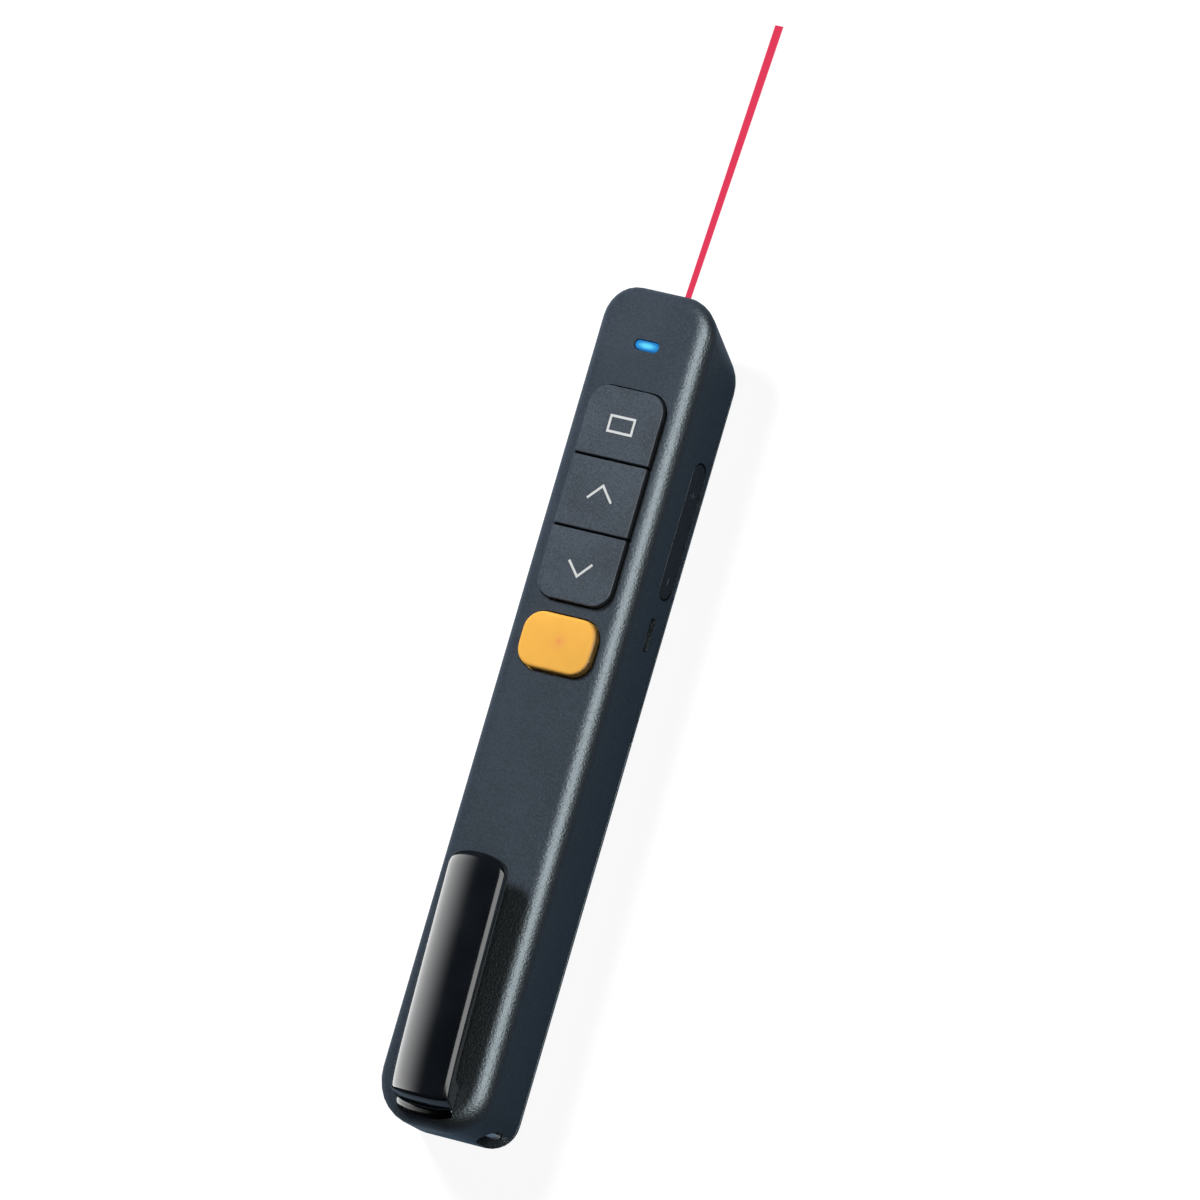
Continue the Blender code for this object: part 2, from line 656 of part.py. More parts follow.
def hook_places():
    """The middle of each cover hook along the body; the rear one slides no further than the rear wall."""
    return (COVER_FRONT - HOOK_FRONT_SPACE, REAR_PARTITION + COVER_TRAVEL + HOOK_LENGTH / 2)


def add_cover_ledges(shell):
    """Ledges on both side walls that the cover's hooks lie over."""
    for k, y in enumerate(hook_places()):
        for side in (-1, 1):
            inner = side * (SIDE_INNER - LEDGE_DEPTH)
            outer = side * (SIDE_INNER + OVERLAP)
            half = HOOK_LENGTH / 2 + LEDGE_EXTRA
            low = (min(inner, outer), y - half, SPLIT_OVER)
            high = (max(inner, outer), y + half, SPLIT_OVER + LEDGE_HEIGHT)
            join(shell, f"ledge_{k}_{'left' if side < 0 else 'right'}", block(low, high))


def add_laser_collar(shell):
    """A collar on the back of the front wall that holds the window, and the aperture through it."""
    centre = (0, LASER_LEVEL)
    collar = tool("upper_shell_collar", rod(centre, COLLAR_RADIUS, COLLAR_REAR, FRONT_TOP, "Y"))
    combine(collar, "INTERSECT", "core", body_form(WALL / 2, SPLIT_OVER, TOP - WALL / 2, open_below=True))
    join(shell, "collar", collar)
    window_bore = rod(centre, WINDOW_RADIUS + GAP, COLLAR_REAR - OVERRUN, WINDOW_STEP, "Y")
    cut(shell, "window_bore", window_bore)
    cut(shell, "aperture", rod(centre, APERTURE_RADIUS, COLLAR_REAR - OVERRUN, FRONT_TOP + OVERRUN, "Y"))


def cut_top_openings(shell):
    low, high = CEILING - OVERLAP, TOP + OVERRUN
    keys = rounded_outline(
        (-KEY_WIDTH / 2 - GAP, KEYS_REAR - GAP),
        (KEY_WIDTH / 2 + GAP, KEYS_FRONT + GAP),
        KEY_CORNER + GAP,
        KEY_CORNER + GAP,
    )
    cut(shell, "key_opening", prism(keys, low, high))
    cut(shell, "laser_button_opening", prism(laser_button_outline()(-GAP), low, high))
    cut(shell, "light_opening", prism(light_outline(SNUG_GAP), low, high))
    half_width = CLIP_TONGUE_WIDTH / 2 + GAP
    half_depth = CLIP_TONGUE_THICKNESS / 2 + GAP
    slot = block(
        (-half_width, CLIP_TONGUE_Y - half_depth, CEILING - OVERLAP),
        (half_width, CLIP_TONGUE_Y + half_depth, TOP + OVERRUN),
    )
    cut(shell, "clip_slot", slot)


def laser_button_outline():
    half_width = LASER_BUTTON_WIDTH / 2
    half_length = LASER_BUTTON_LENGTH / 2
    return key_outline(
        (-half_width, LASER_BUTTON_Y - half_length),
        (half_width, LASER_BUTTON_Y + half_length),
        LASER_BUTTON_CORNER,
        LASER_BUTTON_CORNER,
    )


def light_outline(grow):
    half_width = LIGHT_WIDTH / 2 + grow
    half_length = LIGHT_LENGTH / 2 + grow
    return rounded_outline(
        (-half_width, LIGHT_Y - half_length), (half_width, LIGHT_Y + half_length), half_length, half_length
    )


def side_outline(y, level, length, height, radius):
    """A rounded outline on the side wall, as y and z."""
    half_length, half_height = length / 2, height / 2
    return rounded_outline(
        (y - half_length, level - half_height), (y + half_length, level + half_height), radius, radius
    )


def cut_side_openings(shell):
    low, high = SIDE_INNER - OVERLAP, SIDE + OVERRUN
    rocker = side_outline(
        ROCKER_Y, ROCKER_LEVEL, ROCKER_LENGTH + 2 * GAP, ROCKER_HEIGHT + 2 * GAP, ROCKER_HEIGHT / 2 + GAP / 2
    )
    cut(shell, "rocker_opening", prism(rocker, low, high, "X"))
    slot = side_outline(SLOT_Y, SLOT_LEVEL, SLOT_LENGTH, SLOT_HEIGHT, SLOT_HEIGHT / 2 - GAP / 4)
    cut(shell, "slider_slot", prism(slot, low, high, "X"))


def cut_strap_eye(shell):
    """An arched opening across the rear right corner, with a seat above it for the strap bar."""
    seat = rod(STRAP_BAR_AT, STRAP_BOSS_RADIUS, STRAP_EYE_HEIGHT + GAP, CEILING + OVERLAP, sides=SMALL_SIDES)
    boss = tool("upper_shell_strap_boss", seat)
    combine(boss, "INTERSECT", "core", body_form(WALL / 2, SPLIT_OVER, TOP - WALL / 2, open_below=True))
    join(shell, "strap_boss", boss)
    half = STRAP_EYE_WIDTH / 2
    arch = [(-half, 0), (half, 0)]
    arch += [
        (half * math.cos(a), STRAP_EYE_HEIGHT - half + half * math.sin(a))
        for a in (math.pi * k / (2 * CORNER_STEPS) for k in range(2 * CORNER_STEPS + 1))
    ]
    rings = []
    for depth in (-WALL - STRAP_BAR_DEPTH, OVERRUN):
        middle = REAR_CORNER + STRAP_OUT * (REAR_FOOT_CORNER_RADIUS + depth)
        rings.append([middle + STRAP_ALONG * u + Vector((0, 0, v)) for u, v in arch])
    cut(shell, "strap_eye", stacked(rings))
    bar_hole = rod(STRAP_BAR_AT, STRAP_BAR_RADIUS + GAP, 0, STRAP_BAR_TOP + GAP, sides=SMALL_SIDES)
    cut(shell, "strap_bar_hole", bar_hole)


def make_lower_shell(plastic):
    """The front part of the underside, with screw holes, locating tabs and the laser's saddles."""
    shell = piece("lower_shell", body_form(0, 0, SPLIT_UNDER), plastic)
    behind = block((-BODY_WIDTH, REAR_END - OVERRUN, -OVERRUN), (BODY_WIDTH, LOWER_REAR, TOP))
    cut(shell, "cover_room", behind)
    low = SPLIT_UNDER - OVERLAP
    for k, y in enumerate((FRONT_END - TAB_FRONT_SPACE, LOWER_REAR + TAB_REAR_SPACE)):
        for side in (-1, 1):
            outer = side * (SIDE_INNER - GAP)
            inner = outer - side * TAB_THICKNESS
            corner_low = (min(inner, outer), y - TAB_LENGTH / 2, low)
            corner_high = (max(inner, outer), y + TAB_LENGTH / 2, SPLIT_OVER + TAB_HEIGHT)
            join(shell, f"tab_{k}_{'left' if side < 0 else 'right'}", block(corner_low, corner_high))
    fulcrum_outer = SIDE_INNER - GAP - ROCKER_LIP_THICKNESS - GAP
    fulcrum = block(
        (fulcrum_outer - FULCRUM_THICKNESS, ROCKER_Y - FULCRUM_THICKNESS / 2, low),
        (fulcrum_outer, ROCKER_Y + FULCRUM_THICKNESS / 2, ROCKER_LEVEL + ROCKER_HEIGHT / 2),
    )
    join(shell, "fulcrum", fulcrum)
    for k, y in enumerate((BARREL_FRONT - SADDLE_INSET, BARREL_REAR + SADDLE_INSET)):
        saddle = block(
            (-SADDLE_WIDTH / 2, y - SADDLE_THICKNESS / 2, low),
            (SADDLE_WIDTH / 2, y + SADDLE_THICKNESS / 2, LASER_LEVEL - BARREL_RADIUS / 2),
        )
        join(shell, f"saddle_{k}", saddle)
    cut(
        shell,
        "barrel_room",
        rod((0, LASER_LEVEL), BARREL_RADIUS + GAP, BARREL_REAR - GAP, BARREL_FRONT + GAP, "Y"),
    )
    for name, (x, y) in CASE_SCREWS.items():
        head_room = CASE_SCREW_SINK + CASE_SCREW_HEAD_HEIGHT + GAP
        cut(shell, f"hole_{name}", rod((x, y), CASE_SCREW_RADIUS + GAP, -OVERRUN, TOP, sides=SMALL_SIDES))
        sink = rod((x, y), CASE_SCREW_HEAD_RADIUS + GAP, -OVERRUN, head_room, sides=SMALL_SIDES)
        cut(shell, f"head_{name}", sink)
    return shell


def make_battery_cover(plastic):
    """The rear part of the underside. It slides back off its ledges and then lifts away."""
    origin = (0, COVER_FRONT, 0)
    cover = piece("battery_cover", body_form(0, 0, SPLIT_UNDER), plastic, origin)
    ahead = block((-BODY_WIDTH, COVER_FRONT, -OVERRUN), (BODY_WIDTH, FRONT_END + OVERRUN, TOP))
    cut(cover, "front_line", ahead)
    lip_low = SPLIT_OVER + LEDGE_HEIGHT + GAP
    for k, y in enumerate(hook_places()):
        for side in (-1, 1):
            tag = f"{k}_{'left' if side < 0 else 'right'}"
            stem_outer = side * (SIDE_INNER - LEDGE_DEPTH - GAP)
            stem_inner = stem_outer - side * HOOK_THICKNESS
            lip_outer = side * (SIDE_INNER - GAP)
            near, far = y - HOOK_LENGTH / 2, y + HOOK_LENGTH / 2
            stem_low = (min(stem_inner, stem_outer), near, SPLIT_UNDER - OVERLAP)
            stem_high = (max(stem_inner, stem_outer), far, hook_top())
            lip_corner_low = (min(stem_inner, lip_outer), near, lip_low)
            lip_corner_high = (max(stem_inner, lip_outer), far, hook_top())
            stem = tool(f"battery_cover_hook_{tag}", block(stem_low, stem_high))
            combine(stem, "UNION", "lip", block(lip_corner_low, lip_corner_high))
            join(cover, f"hook_{tag}", stem)
    for k in range(GRIP_COUNT):
        y = COVER_FRONT - GRIP_FROM_FRONT - k * GRIP_PITCH
        half_width, half_length = GRIP_WIDTH / 2, GRIP_LENGTH / 2
        groove = block((-half_width, y - half_length, -OVERRUN), (half_width, y + half_length, GRIP_DEPTH))
        cut(cover, f"grip_{k}", groove)
    return cover


# Keys, light and side controls


def key_with_post(name, outline_at, proud, edge, lip_low, lip_high, y, material):
    """A key cap with its lip under the roof and a post over its switch."""
    cap = edged_prism(outline_at, LIP_UNDER, TOP + proud, edge)
    key = piece(name, cap, material, (0, y, TOP))
    lip = rounded_outline(lip_low, lip_high, KEY_EDGE, KEY_EDGE, EDGE_STEPS)
    join(key, "lip", prism(lip, LIP_UNDER + OVERLAP / 4, LIP_TOP))
    join(key, "post", rod((0, y), KEY_POST_RADIUS, PLUNGER_TOP + GAP, LIP_UNDER + OVERLAP, sides=SMALL_SIDES))
    return key


def key_places():
    """Each key's front and rear edge."""
    return [(KEYS_FRONT - k * KEY_PITCH, KEYS_FRONT - k * KEY_PITCH - KEY_LENGTH) for k in range(KEY_COUNT)]


def make_keys(plastic):
    for name, (front, rear) in zip(("screen_key", "up_key", "down_key"), key_places(), strict=True):
        front_radius = KEY_CORNER if front == KEYS_FRONT else 0
        rear_radius = KEY_CORNER if name == "down_key" else 0
        outline_at = key_outline((-KEY_WIDTH / 2, rear), (KEY_WIDTH / 2, front), front_radius, rear_radius)
        lip_low = (-KEY_WIDTH / 2 - KEY_LIP, rear + KEY_LIP_INSET)
        lip_high = (KEY_WIDTH / 2 + KEY_LIP, front - KEY_LIP_INSET)
        key_with_post(name, outline_at, KEY_PROUD, KEY_EDGE, lip_low, lip_high, (front + rear) / 2, plastic)


def make_laser_button(plastic):
    half_width = LASER_BUTTON_WIDTH / 2 + LASER_BUTTON_LIP
    half_length = LASER_BUTTON_LENGTH / 2 + LASER_BUTTON_LIP
    key_with_post(
        "laser_button",
        laser_button_outline(),
        LASER_BUTTON_PROUD,
        LASER_BUTTON_EDGE,
        (-half_width, LASER_BUTTON_Y - half_length),
        (half_width, LASER_BUTTON_Y + half_length),
        LASER_BUTTON_Y,
        plastic,
    )


def make_status_light(clear):
    """A light pipe: a pill that shows in the roof, a lip under it and a stem down to the lamp."""
    pill = prism(light_outline(0), LIP_UNDER, TOP - LIGHT_SINK)
    light = piece("status_light", pill, clear, (0, LIGHT_Y, TOP))
    lip_top = CEILING - SNUG_GAP
    join(light, "lip", prism(light_outline(LIGHT_LIP), lip_top - LIGHT_LIP_THICKNESS, lip_top))
    low = BOARD_TOP + SOLDER_GAP + LED_HEIGHT + GAP
    join(light, "stem", rod((0, LIGHT_Y), LIGHT_STEM_RADIUS, low, LIP_TOP - OVERLAP, sides=SMALL_SIDES))


def make_volume_rocker(plastic):
    """The long rocker in the side wall. It tips about an upright axis at its middle."""
    lip_outer = SIDE_INNER - GAP
    lip_inner = lip_outer - ROCKER_LIP_THICKNESS
    origin = (lip_inner, ROCKER_Y, ROCKER_LEVEL)
    bar = side_outline(ROCKER_Y, ROCKER_LEVEL, ROCKER_LENGTH, ROCKER_HEIGHT, ROCKER_HEIGHT / 2 - GAP / 4)
    rocker = piece("volume_rocker", prism(bar, lip_outer - OVERLAP, SIDE - ROCKER_SINK, "X"), plastic, origin)
    lip = side_outline(ROCKER_Y, ROCKER_LEVEL, ROCKER_LIP_LENGTH, ROCKER_HEIGHT + 2 * ROCKER_LIP, ROCKER_LIP)
    join(rocker, "lip", prism(lip, lip_inner, lip_outer, "X"))
    for name, y in (("front", ROCKER_Y + ROCKER_ARM), ("rear", ROCKER_Y - ROCKER_ARM)):
        low, high = lip_inner - ROCKER_PAD_LENGTH, lip_inner + OVERLAP
        pad = rod((y, ROCKER_LEVEL), ROCKER_PAD_RADIUS, low, high, "X", SMALL_SIDES)
        join(rocker, f"pad_{name}", pad)


def make_power_slider(plastic):
    """The sliding knob: a bar in the slot, a plate behind the wall and a fork round the switch's lever."""
    plate_outer = SIDE_INNER - GAP
    plate_inner = plate_outer - SLIDER_PLATE_THICKNESS
    origin = (plate_outer, SLIDER_Y, SLOT_LEVEL)
    knob_radius = SLOT_HEIGHT / 2 - GAP - GAP / 4
    knob_outline = side_outline(SLIDER_Y, SLOT_LEVEL, SLIDER_LENGTH, SLOT_HEIGHT - 2 * GAP, knob_radius)
    knob = prism(knob_outline, plate_outer - OVERLAP, SIDE - SLIDER_SINK, "X")
    slider = piece("power_slider", knob, plastic, origin)
    half_height = SLIDER_PLATE_HEIGHT / 2
    half_length = SLIDER_PLATE_LENGTH / 2
    plate = block(
        (plate_inner, SLIDER_Y - half_length, SLOT_LEVEL - half_height),
        (plate_outer, SLIDER_Y + half_length, SLOT_LEVEL + half_height),
    )
    join(slider, "plate", plate)
    for name, side in (("front", 1), ("rear", -1)):
        near = SLIDER_Y + side * (LEVER_LENGTH / 2 + GAP)
        far = near + side * SLIDER_PRONG_THICKNESS
        prong = block(
            (plate_inner - SLIDER_PRONG_LENGTH, min(near, far), SLOT_LEVEL - LEVER_HEIGHT / 2),
            (plate_inner + OVERLAP, max(near, far), SLOT_LEVEL + LEVER_HEIGHT / 2),
        )
        join(slider, f"prong_{name}", prong)


# Pocket clip


def clip_edge():
    """Points along the clip's upper side edge, from its rear end over the heel and the arm to its tip."""
    corners = (
        (CLIP_REAR, CLIP_END_RISE),
        (CLIP_TOE, CLIP_TOE_RISE),
        (CLIP_HEEL, CLIP_HEEL_RISE),
        (CLIP_BACK, CLIP_BACK_RISE),
        (CLIP_SHOULDER, CLIP_SHOULDER_RISE),
        (CLIP_TIP - CLIP_TIP_DEPTH, tip_rise(CLIP_TIP - CLIP_TIP_DEPTH)),
    )
    route = smooth_route([Vector((0, y, TOP + rise)) for y, rise in corners], CLIP_STEPS)
    tip = []
    for k in range(1, CLIP_TIP_STEPS + 1):
        angle = math.pi / 2 * CLIP_LAST_SHARE * k / CLIP_TIP_STEPS
        y = CLIP_TIP - CLIP_TIP_DEPTH * (1 - math.sin(angle) ** (2 / CLIP_TIP_SHARE))
        tip.append(Vector((0, y, TOP + tip_rise(y))))
    return [*route, *tip]


def tip_rise(y):
    """The arm's straight rise from its shoulder to its tip."""
    return CLIP_SHOULDER_RISE + (CLIP_TIP_RISE - CLIP_SHOULDER_RISE) * (y - CLIP_SHOULDER) / CLIP_ARM_STEP


def clip_half_width(y):
    """Half the clip's width: full along the arm, then a squared ellipse round the tip."""
    share = max(y - CLIP_TIP + CLIP_TIP_DEPTH, 0) / CLIP_TIP_DEPTH
    return CLIP_WIDTH / 2 * (1 - share**CLIP_TIP_SHARE) ** (1 / CLIP_TIP_SHARE)


def clip_section(y, high):
    """The clip's outline across its width at a place: a crowned top and a flat underside."""
    half = clip_half_width(y)
    foot_front = CLIP_REAR + CLIP_FOOT_LENGTH
    low = high - CLIP_THICKNESS
    if y < foot_front + CLIP_FOOT_FILLET:
        reach = min(foot_front + CLIP_FOOT_FILLET - y, CLIP_FOOT_FILLET) / CLIP_FOOT_FILLET
        drop = 1 - math.sqrt(1 - reach**2)
        low -= (low - (TOP - TOP_RADIUS)) * drop
    points = [(-half, y, low), (half, y, low)]
    for k in range(CLIP_CROWN_STEPS + 1):
        share = 1 - 2 * k / CLIP_CROWN_STEPS
        crown = CLIP_CROWN * (1 - share**2) * half / (CLIP_WIDTH / 2)
        points.append((half * share, y, high + crown - CLIP_EDGE * share**8))
    return points


def make_pocket_clip(gloss):
    """The clip: an arm over the roof, a foot on the rear edge and a barbed tongue through the roof."""
    origin = (0, CLIP_AXIS_Y, CLIP_AXIS_LEVEL)
    rings = [clip_section(point.y, point.z) for point in clip_edge()]
    clip = piece("pocket_clip", stacked(rings), gloss, origin)
    cut(clip, "body_room", body_form(-GAP, 0, TOP + GAP))
    half_width = CLIP_TONGUE_WIDTH / 2
    half_depth = CLIP_TONGUE_THICKNESS / 2
    barb_top = CEILING - CLIP_BARB_DROP
    tongue = tool(
        "pocket_clip_tongue_stem",
        block(
            (-half_width, CLIP_TONGUE_Y - half_depth, barb_top - CLIP_BARB_HEIGHT),
            (half_width, CLIP_TONGUE_Y + half_depth, TOP + CLIP_THICKNESS),
        ),
    )
    barb_half, barb_reach = half_width - KEY_EDGE, half_depth + CLIP_BARB
    barb = block(
        (-barb_half, CLIP_TONGUE_Y - barb_reach, barb_top - CLIP_BARB_HEIGHT + OVERLAP / 4),
        (barb_half, CLIP_TONGUE_Y + barb_reach, barb_top),
    )
    combine(tongue, "UNION", "barb", barb)
    join(clip, "tongue", tongue)


def make_strap_bar(steel):
    bar = rod(STRAP_BAR_AT, STRAP_BAR_RADIUS, SPLIT_OVER, STRAP_BAR_TOP, sides=SMALL_SIDES)
    piece("strap_bar", bar, steel)


# Laser module


def make_laser_module(brass, glass, metal, board):
    centre = (0, LASER_LEVEL)
    window_front = WINDOW_STEP - GAP
    window = rod(centre, WINDOW_RADIUS, window_front - WINDOW_THICKNESS, window_front, "Y")
    piece("laser_window", window, glass)
    barrel = piece("laser_barrel", rod(centre, BARREL_RADIUS, BARREL_REAR, BARREL_FRONT, "Y"), brass)
    cut(barrel, "bore", rod(centre, BARREL_BORE, BARREL_REAR + BARREL_END_WALL, BARREL_FRONT + OVERRUN, "Y"))
    cut(barrel, "rear_hole", rod(centre, BARREL_REAR_HOLE, BARREL_REAR - OVERRUN, BARREL_FRONT, "Y"))
    lens_front = BARREL_FRONT - LENS_DEPTH
    crown = (LENS_THICKNESS - LENS_EDGE) / 2
    arc = [math.pi / 2 * k / EDGE_STEPS for k in range(EDGE_STEPS)]
    lens_rear = lens_front - LENS_THICKNESS
    rear_face = [(LENS_RADIUS * math.sin(a), lens_rear + crown * (1 - math.cos(a))) for a in arc[1:]]
    front_face = [(LENS_RADIUS * math.cos(a), lens_front - crown + crown * math.sin(a)) for a in arc]
    rim = [(LENS_RADIUS, lens_rear + crown)]
    piece("collimating_lens", turned(centre, [*rear_face, *rim, *front_face]), glass)
    make_laser_diode(centre, metal)
    half = DRIVER_WIDTH / 2
    driver = block(
        (-half, DRIVER_FRONT - DRIVER_LENGTH, LASER_LEVEL - DRIVER_THICKNESS / 2),
        (half, DRIVER_FRONT, LASER_LEVEL + DRIVER_THICKNESS / 2),
    )
    piece("laser_driver_board", driver, board)


def make_laser_diode(centre, metal):
    flange_front = DIODE_REAR + DIODE_FLANGE_THICKNESS
    profile = [
        (DIODE_FLANGE_RADIUS, DIODE_REAR),
        (DIODE_FLANGE_RADIUS, flange_front),
        (DIODE_CAN_RADIUS, flange_front),
        (DIODE_CAN_RADIUS, flange_front + DIODE_CAN_LENGTH),
    ]
    diode = piece("laser_diode", turned(centre, profile, sides=SMALL_SIDES), metal)
    for name, x in (("left", -DIODE_PIN_SPREAD), ("right", DIODE_PIN_SPREAD)):
        low, high = DIODE_REAR - DIODE_PIN_LENGTH, DIODE_REAR + OVERLAP
        pin = rod((x, LASER_LEVEL), DIODE_PIN_RADIUS, low, high, "Y", 8)
        join(diode, f"pin_{name}", pin)


# Circuit board and its parts


def make_main_board(board):
    half = SIDE_INNER - BOARD_SIDE_SPACE
    outline = rounded_outline((-half, BOARD_REAR), (half, BOARD_FRONT), BOARD_CORNER, KEY_EDGE)
    plate = piece("main_board", prism(outline, BOARD_UNDER, BOARD_TOP), board)
    low, high = BOARD_UNDER - OVERRUN, BOARD_TOP + OVERRUN
    for name, (x, y) in CASE_SCREWS.items():
        cut(plate, f"notch_{name}", rod((x, y), BOSS_RADIUS + GAP, low, high, sides=SMALL_SIDES))
    rear_room = block((-BOSS_RADIUS - GAP, BOARD_REAR - OVERRUN, low), (BOSS_RADIUS + GAP, BOSS_REAR_Y, high))
    cut(plate, "rear_notch", rear_room)
    for name, (x, y) in BOARD_SCREWS.items():
        cut(plate, f"hole_{name}", rod((x, y), BOARD_SCREW_RADIUS + GAP, low, high, sides=SMALL_SIDES))


def make_tact_switches(dark, red):
    """A square switch under each top key, with the plunger that the key's post pushes."""
    middles = [(front + rear) / 2 for front, rear in key_places()] + [LASER_BUTTON_Y]
    half = TACT_SIZE / 2
    for name, y in zip(("screen", "up", "down", "laser"), middles, strict=True):
        housing = block((-half, y - half, TACT_UNDER), (half, y + half, TACT_TOP))
        switch = piece(f"{name}_switch", housing, dark)
        floor = TACT_UNDER + TACT_FLOOR
        cut(switch, "bore", rod((0, y), PLUNGER_RADIUS + GAP, floor, TACT_TOP + OVERRUN, sides=SMALL_SIDES))
        plunger = rod((0, y), PLUNGER_RADIUS, floor + GAP, PLUNGER_TOP, sides=SMALL_SIDES)
        piece(f"{name}_plunger", plunger, red, (0, y, TOP))


def make_volume_switches(dark, red):
    """A switch on edge under each arm of the rocker, with its plunger pointing out."""
    tip = SIDE_INNER - GAP - ROCKER_LIP_THICKNESS - ROCKER_PAD_LENGTH - GAP
    face = tip - SIDE_PLUNGER_PROUD
    half = SIDE_TACT_LENGTH / 2
    for name, y in (("volume_up", ROCKER_Y + ROCKER_ARM), ("volume_down", ROCKER_Y - ROCKER_ARM)):
        housing = block(
            (face - SIDE_TACT_DEPTH, y - half, ROCKER_LEVEL - SIDE_TACT_BELOW),
            (face, y + half, BOARD_UNDER - SOLDER_GAP),
        )
        switch = piece(f"{name}_switch", housing, dark)
        bottom = tip - SIDE_PLUNGER_LENGTH
        bore = rod(
            (y, ROCKER_LEVEL), SIDE_PLUNGER_RADIUS + GAP, bottom - GAP, face + OVERRUN, "X", SMALL_SIDES
        )
        cut(switch, "bore", bore)
        plunger = rod((y, ROCKER_LEVEL), SIDE_PLUNGER_RADIUS, bottom, tip, "X", SMALL_SIDES)
        piece(f"{name}_plunger", plunger, red)


def make_power_switch(metal, dark):
    """The slide switch behind the power slider, and its lever."""
    tip = SIDE_INNER - GAP - SLIDER_PLATE_THICKNESS - GAP
    face = tip - LEVER_PROUD
    half = SWITCH_LENGTH / 2
    housing = block(
        (face - SWITCH_DEPTH, SLOT_Y - half, SLOT_LEVEL - SWITCH_BELOW),
        (face, SLOT_Y + half, BOARD_UNDER - SOLDER_GAP),
    )
    switch = piece("power_switch", housing, metal)
    room_half = (LEVER_LENGTH + SLIDER_TRAVEL) / 2 + GAP
    room = block(
        (tip - LEVER_DEPTH - GAP, SLOT_Y - room_half, SLOT_LEVEL - LEVER_HEIGHT / 2 - GAP),
        (face + OVERRUN, SLOT_Y + room_half, SLOT_LEVEL + LEVER_HEIGHT / 2 + GAP),
    )
    cut(switch, "lever_room", room)
    lever = block(
        (tip - LEVER_DEPTH, SLIDER_Y - LEVER_LENGTH / 2, SLOT_LEVEL - LEVER_HEIGHT / 2),
        (tip, SLIDER_Y + LEVER_LENGTH / 2, SLOT_LEVEL + LEVER_HEIGHT / 2),
    )
    piece("power_lever", lever, dark, (tip, SLIDER_Y, SLOT_LEVEL))


def make_board_parts(dark, metal, lamp):
    """The radio chip and its crystal between the keys, and the lamp under the light pipe."""
    _, up_rear = key_places()[1]
    middle = up_rear - KEY_SPACE / 2
    half = CHIP_SIZE / 2
    chip = block((-half, middle - half, TACT_UNDER), (half, middle + half, TACT_UNDER + CHIP_HEIGHT))
    piece("radio_chip", chip, dark)
    crystal = block(
        (CRYSTAL_OFFSET - CRYSTAL_WIDTH / 2, middle - CRYSTAL_LENGTH / 2, TACT_UNDER),
        (CRYSTAL_OFFSET + CRYSTAL_WIDTH / 2, middle + CRYSTAL_LENGTH / 2, TACT_UNDER + CRYSTAL_HEIGHT),
    )
    piece("clock_crystal", crystal, metal)
    led = block(
        (-LED_WIDTH / 2, LIGHT_Y - LED_LENGTH / 2, TACT_UNDER),
        (LED_WIDTH / 2, LIGHT_Y + LED_LENGTH / 2, TACT_UNDER + LED_HEIGHT),
    )
    piece("status_led", led, lamp)


# Screws


def make_screw(name, x, y, under, head_radius, head_height, radius, length, steel):
    """A pan-head screw pointing up, with a cross recess in its head below."""
    head_top = under + head_height
    profile = [(head_radius, under), (head_radius, head_top), (radius, head_top), (radius, head_top + length)]
    screw = piece(name, turned((x, y), profile, "Z", SMALL_SIDES), steel)
    for k, (reach_x, reach_y) in enumerate(((RECESS_ARM, RECESS_WIDTH / 2), (RECESS_WIDTH / 2, RECESS_ARM))):
        depth = under + RECESS_DEPTH
        recess = block((x - reach_x, y - reach_y, under - OVERRUN), (x + reach_x, y + reach_y, depth))
        cut(screw, f"recess_{k}", recess)


def make_screws(steel):
    for name, (x, y) in CASE_SCREWS.items():
        make_screw(
            f"case_screw_{name}",
            x,
            y,
            CASE_SCREW_SINK,
            CASE_SCREW_HEAD_RADIUS,
            CASE_SCREW_HEAD_HEIGHT,
            CASE_SCREW_RADIUS,
            CASE_SCREW_LENGTH,
            steel,
        )
    for name, (x, y) in BOARD_SCREWS.items():
        make_screw(
            f"board_screw_{name}",
            x,
            y,
            BOARD_UNDER - GAP - BOARD_SCREW_HEAD_HEIGHT,
            BOARD_SCREW_HEAD_RADIUS,
            BOARD_SCREW_HEAD_HEIGHT,
            BOARD_SCREW_RADIUS,
            BOARD_SCREW_LENGTH,
            steel,
        )


# Battery and receiver


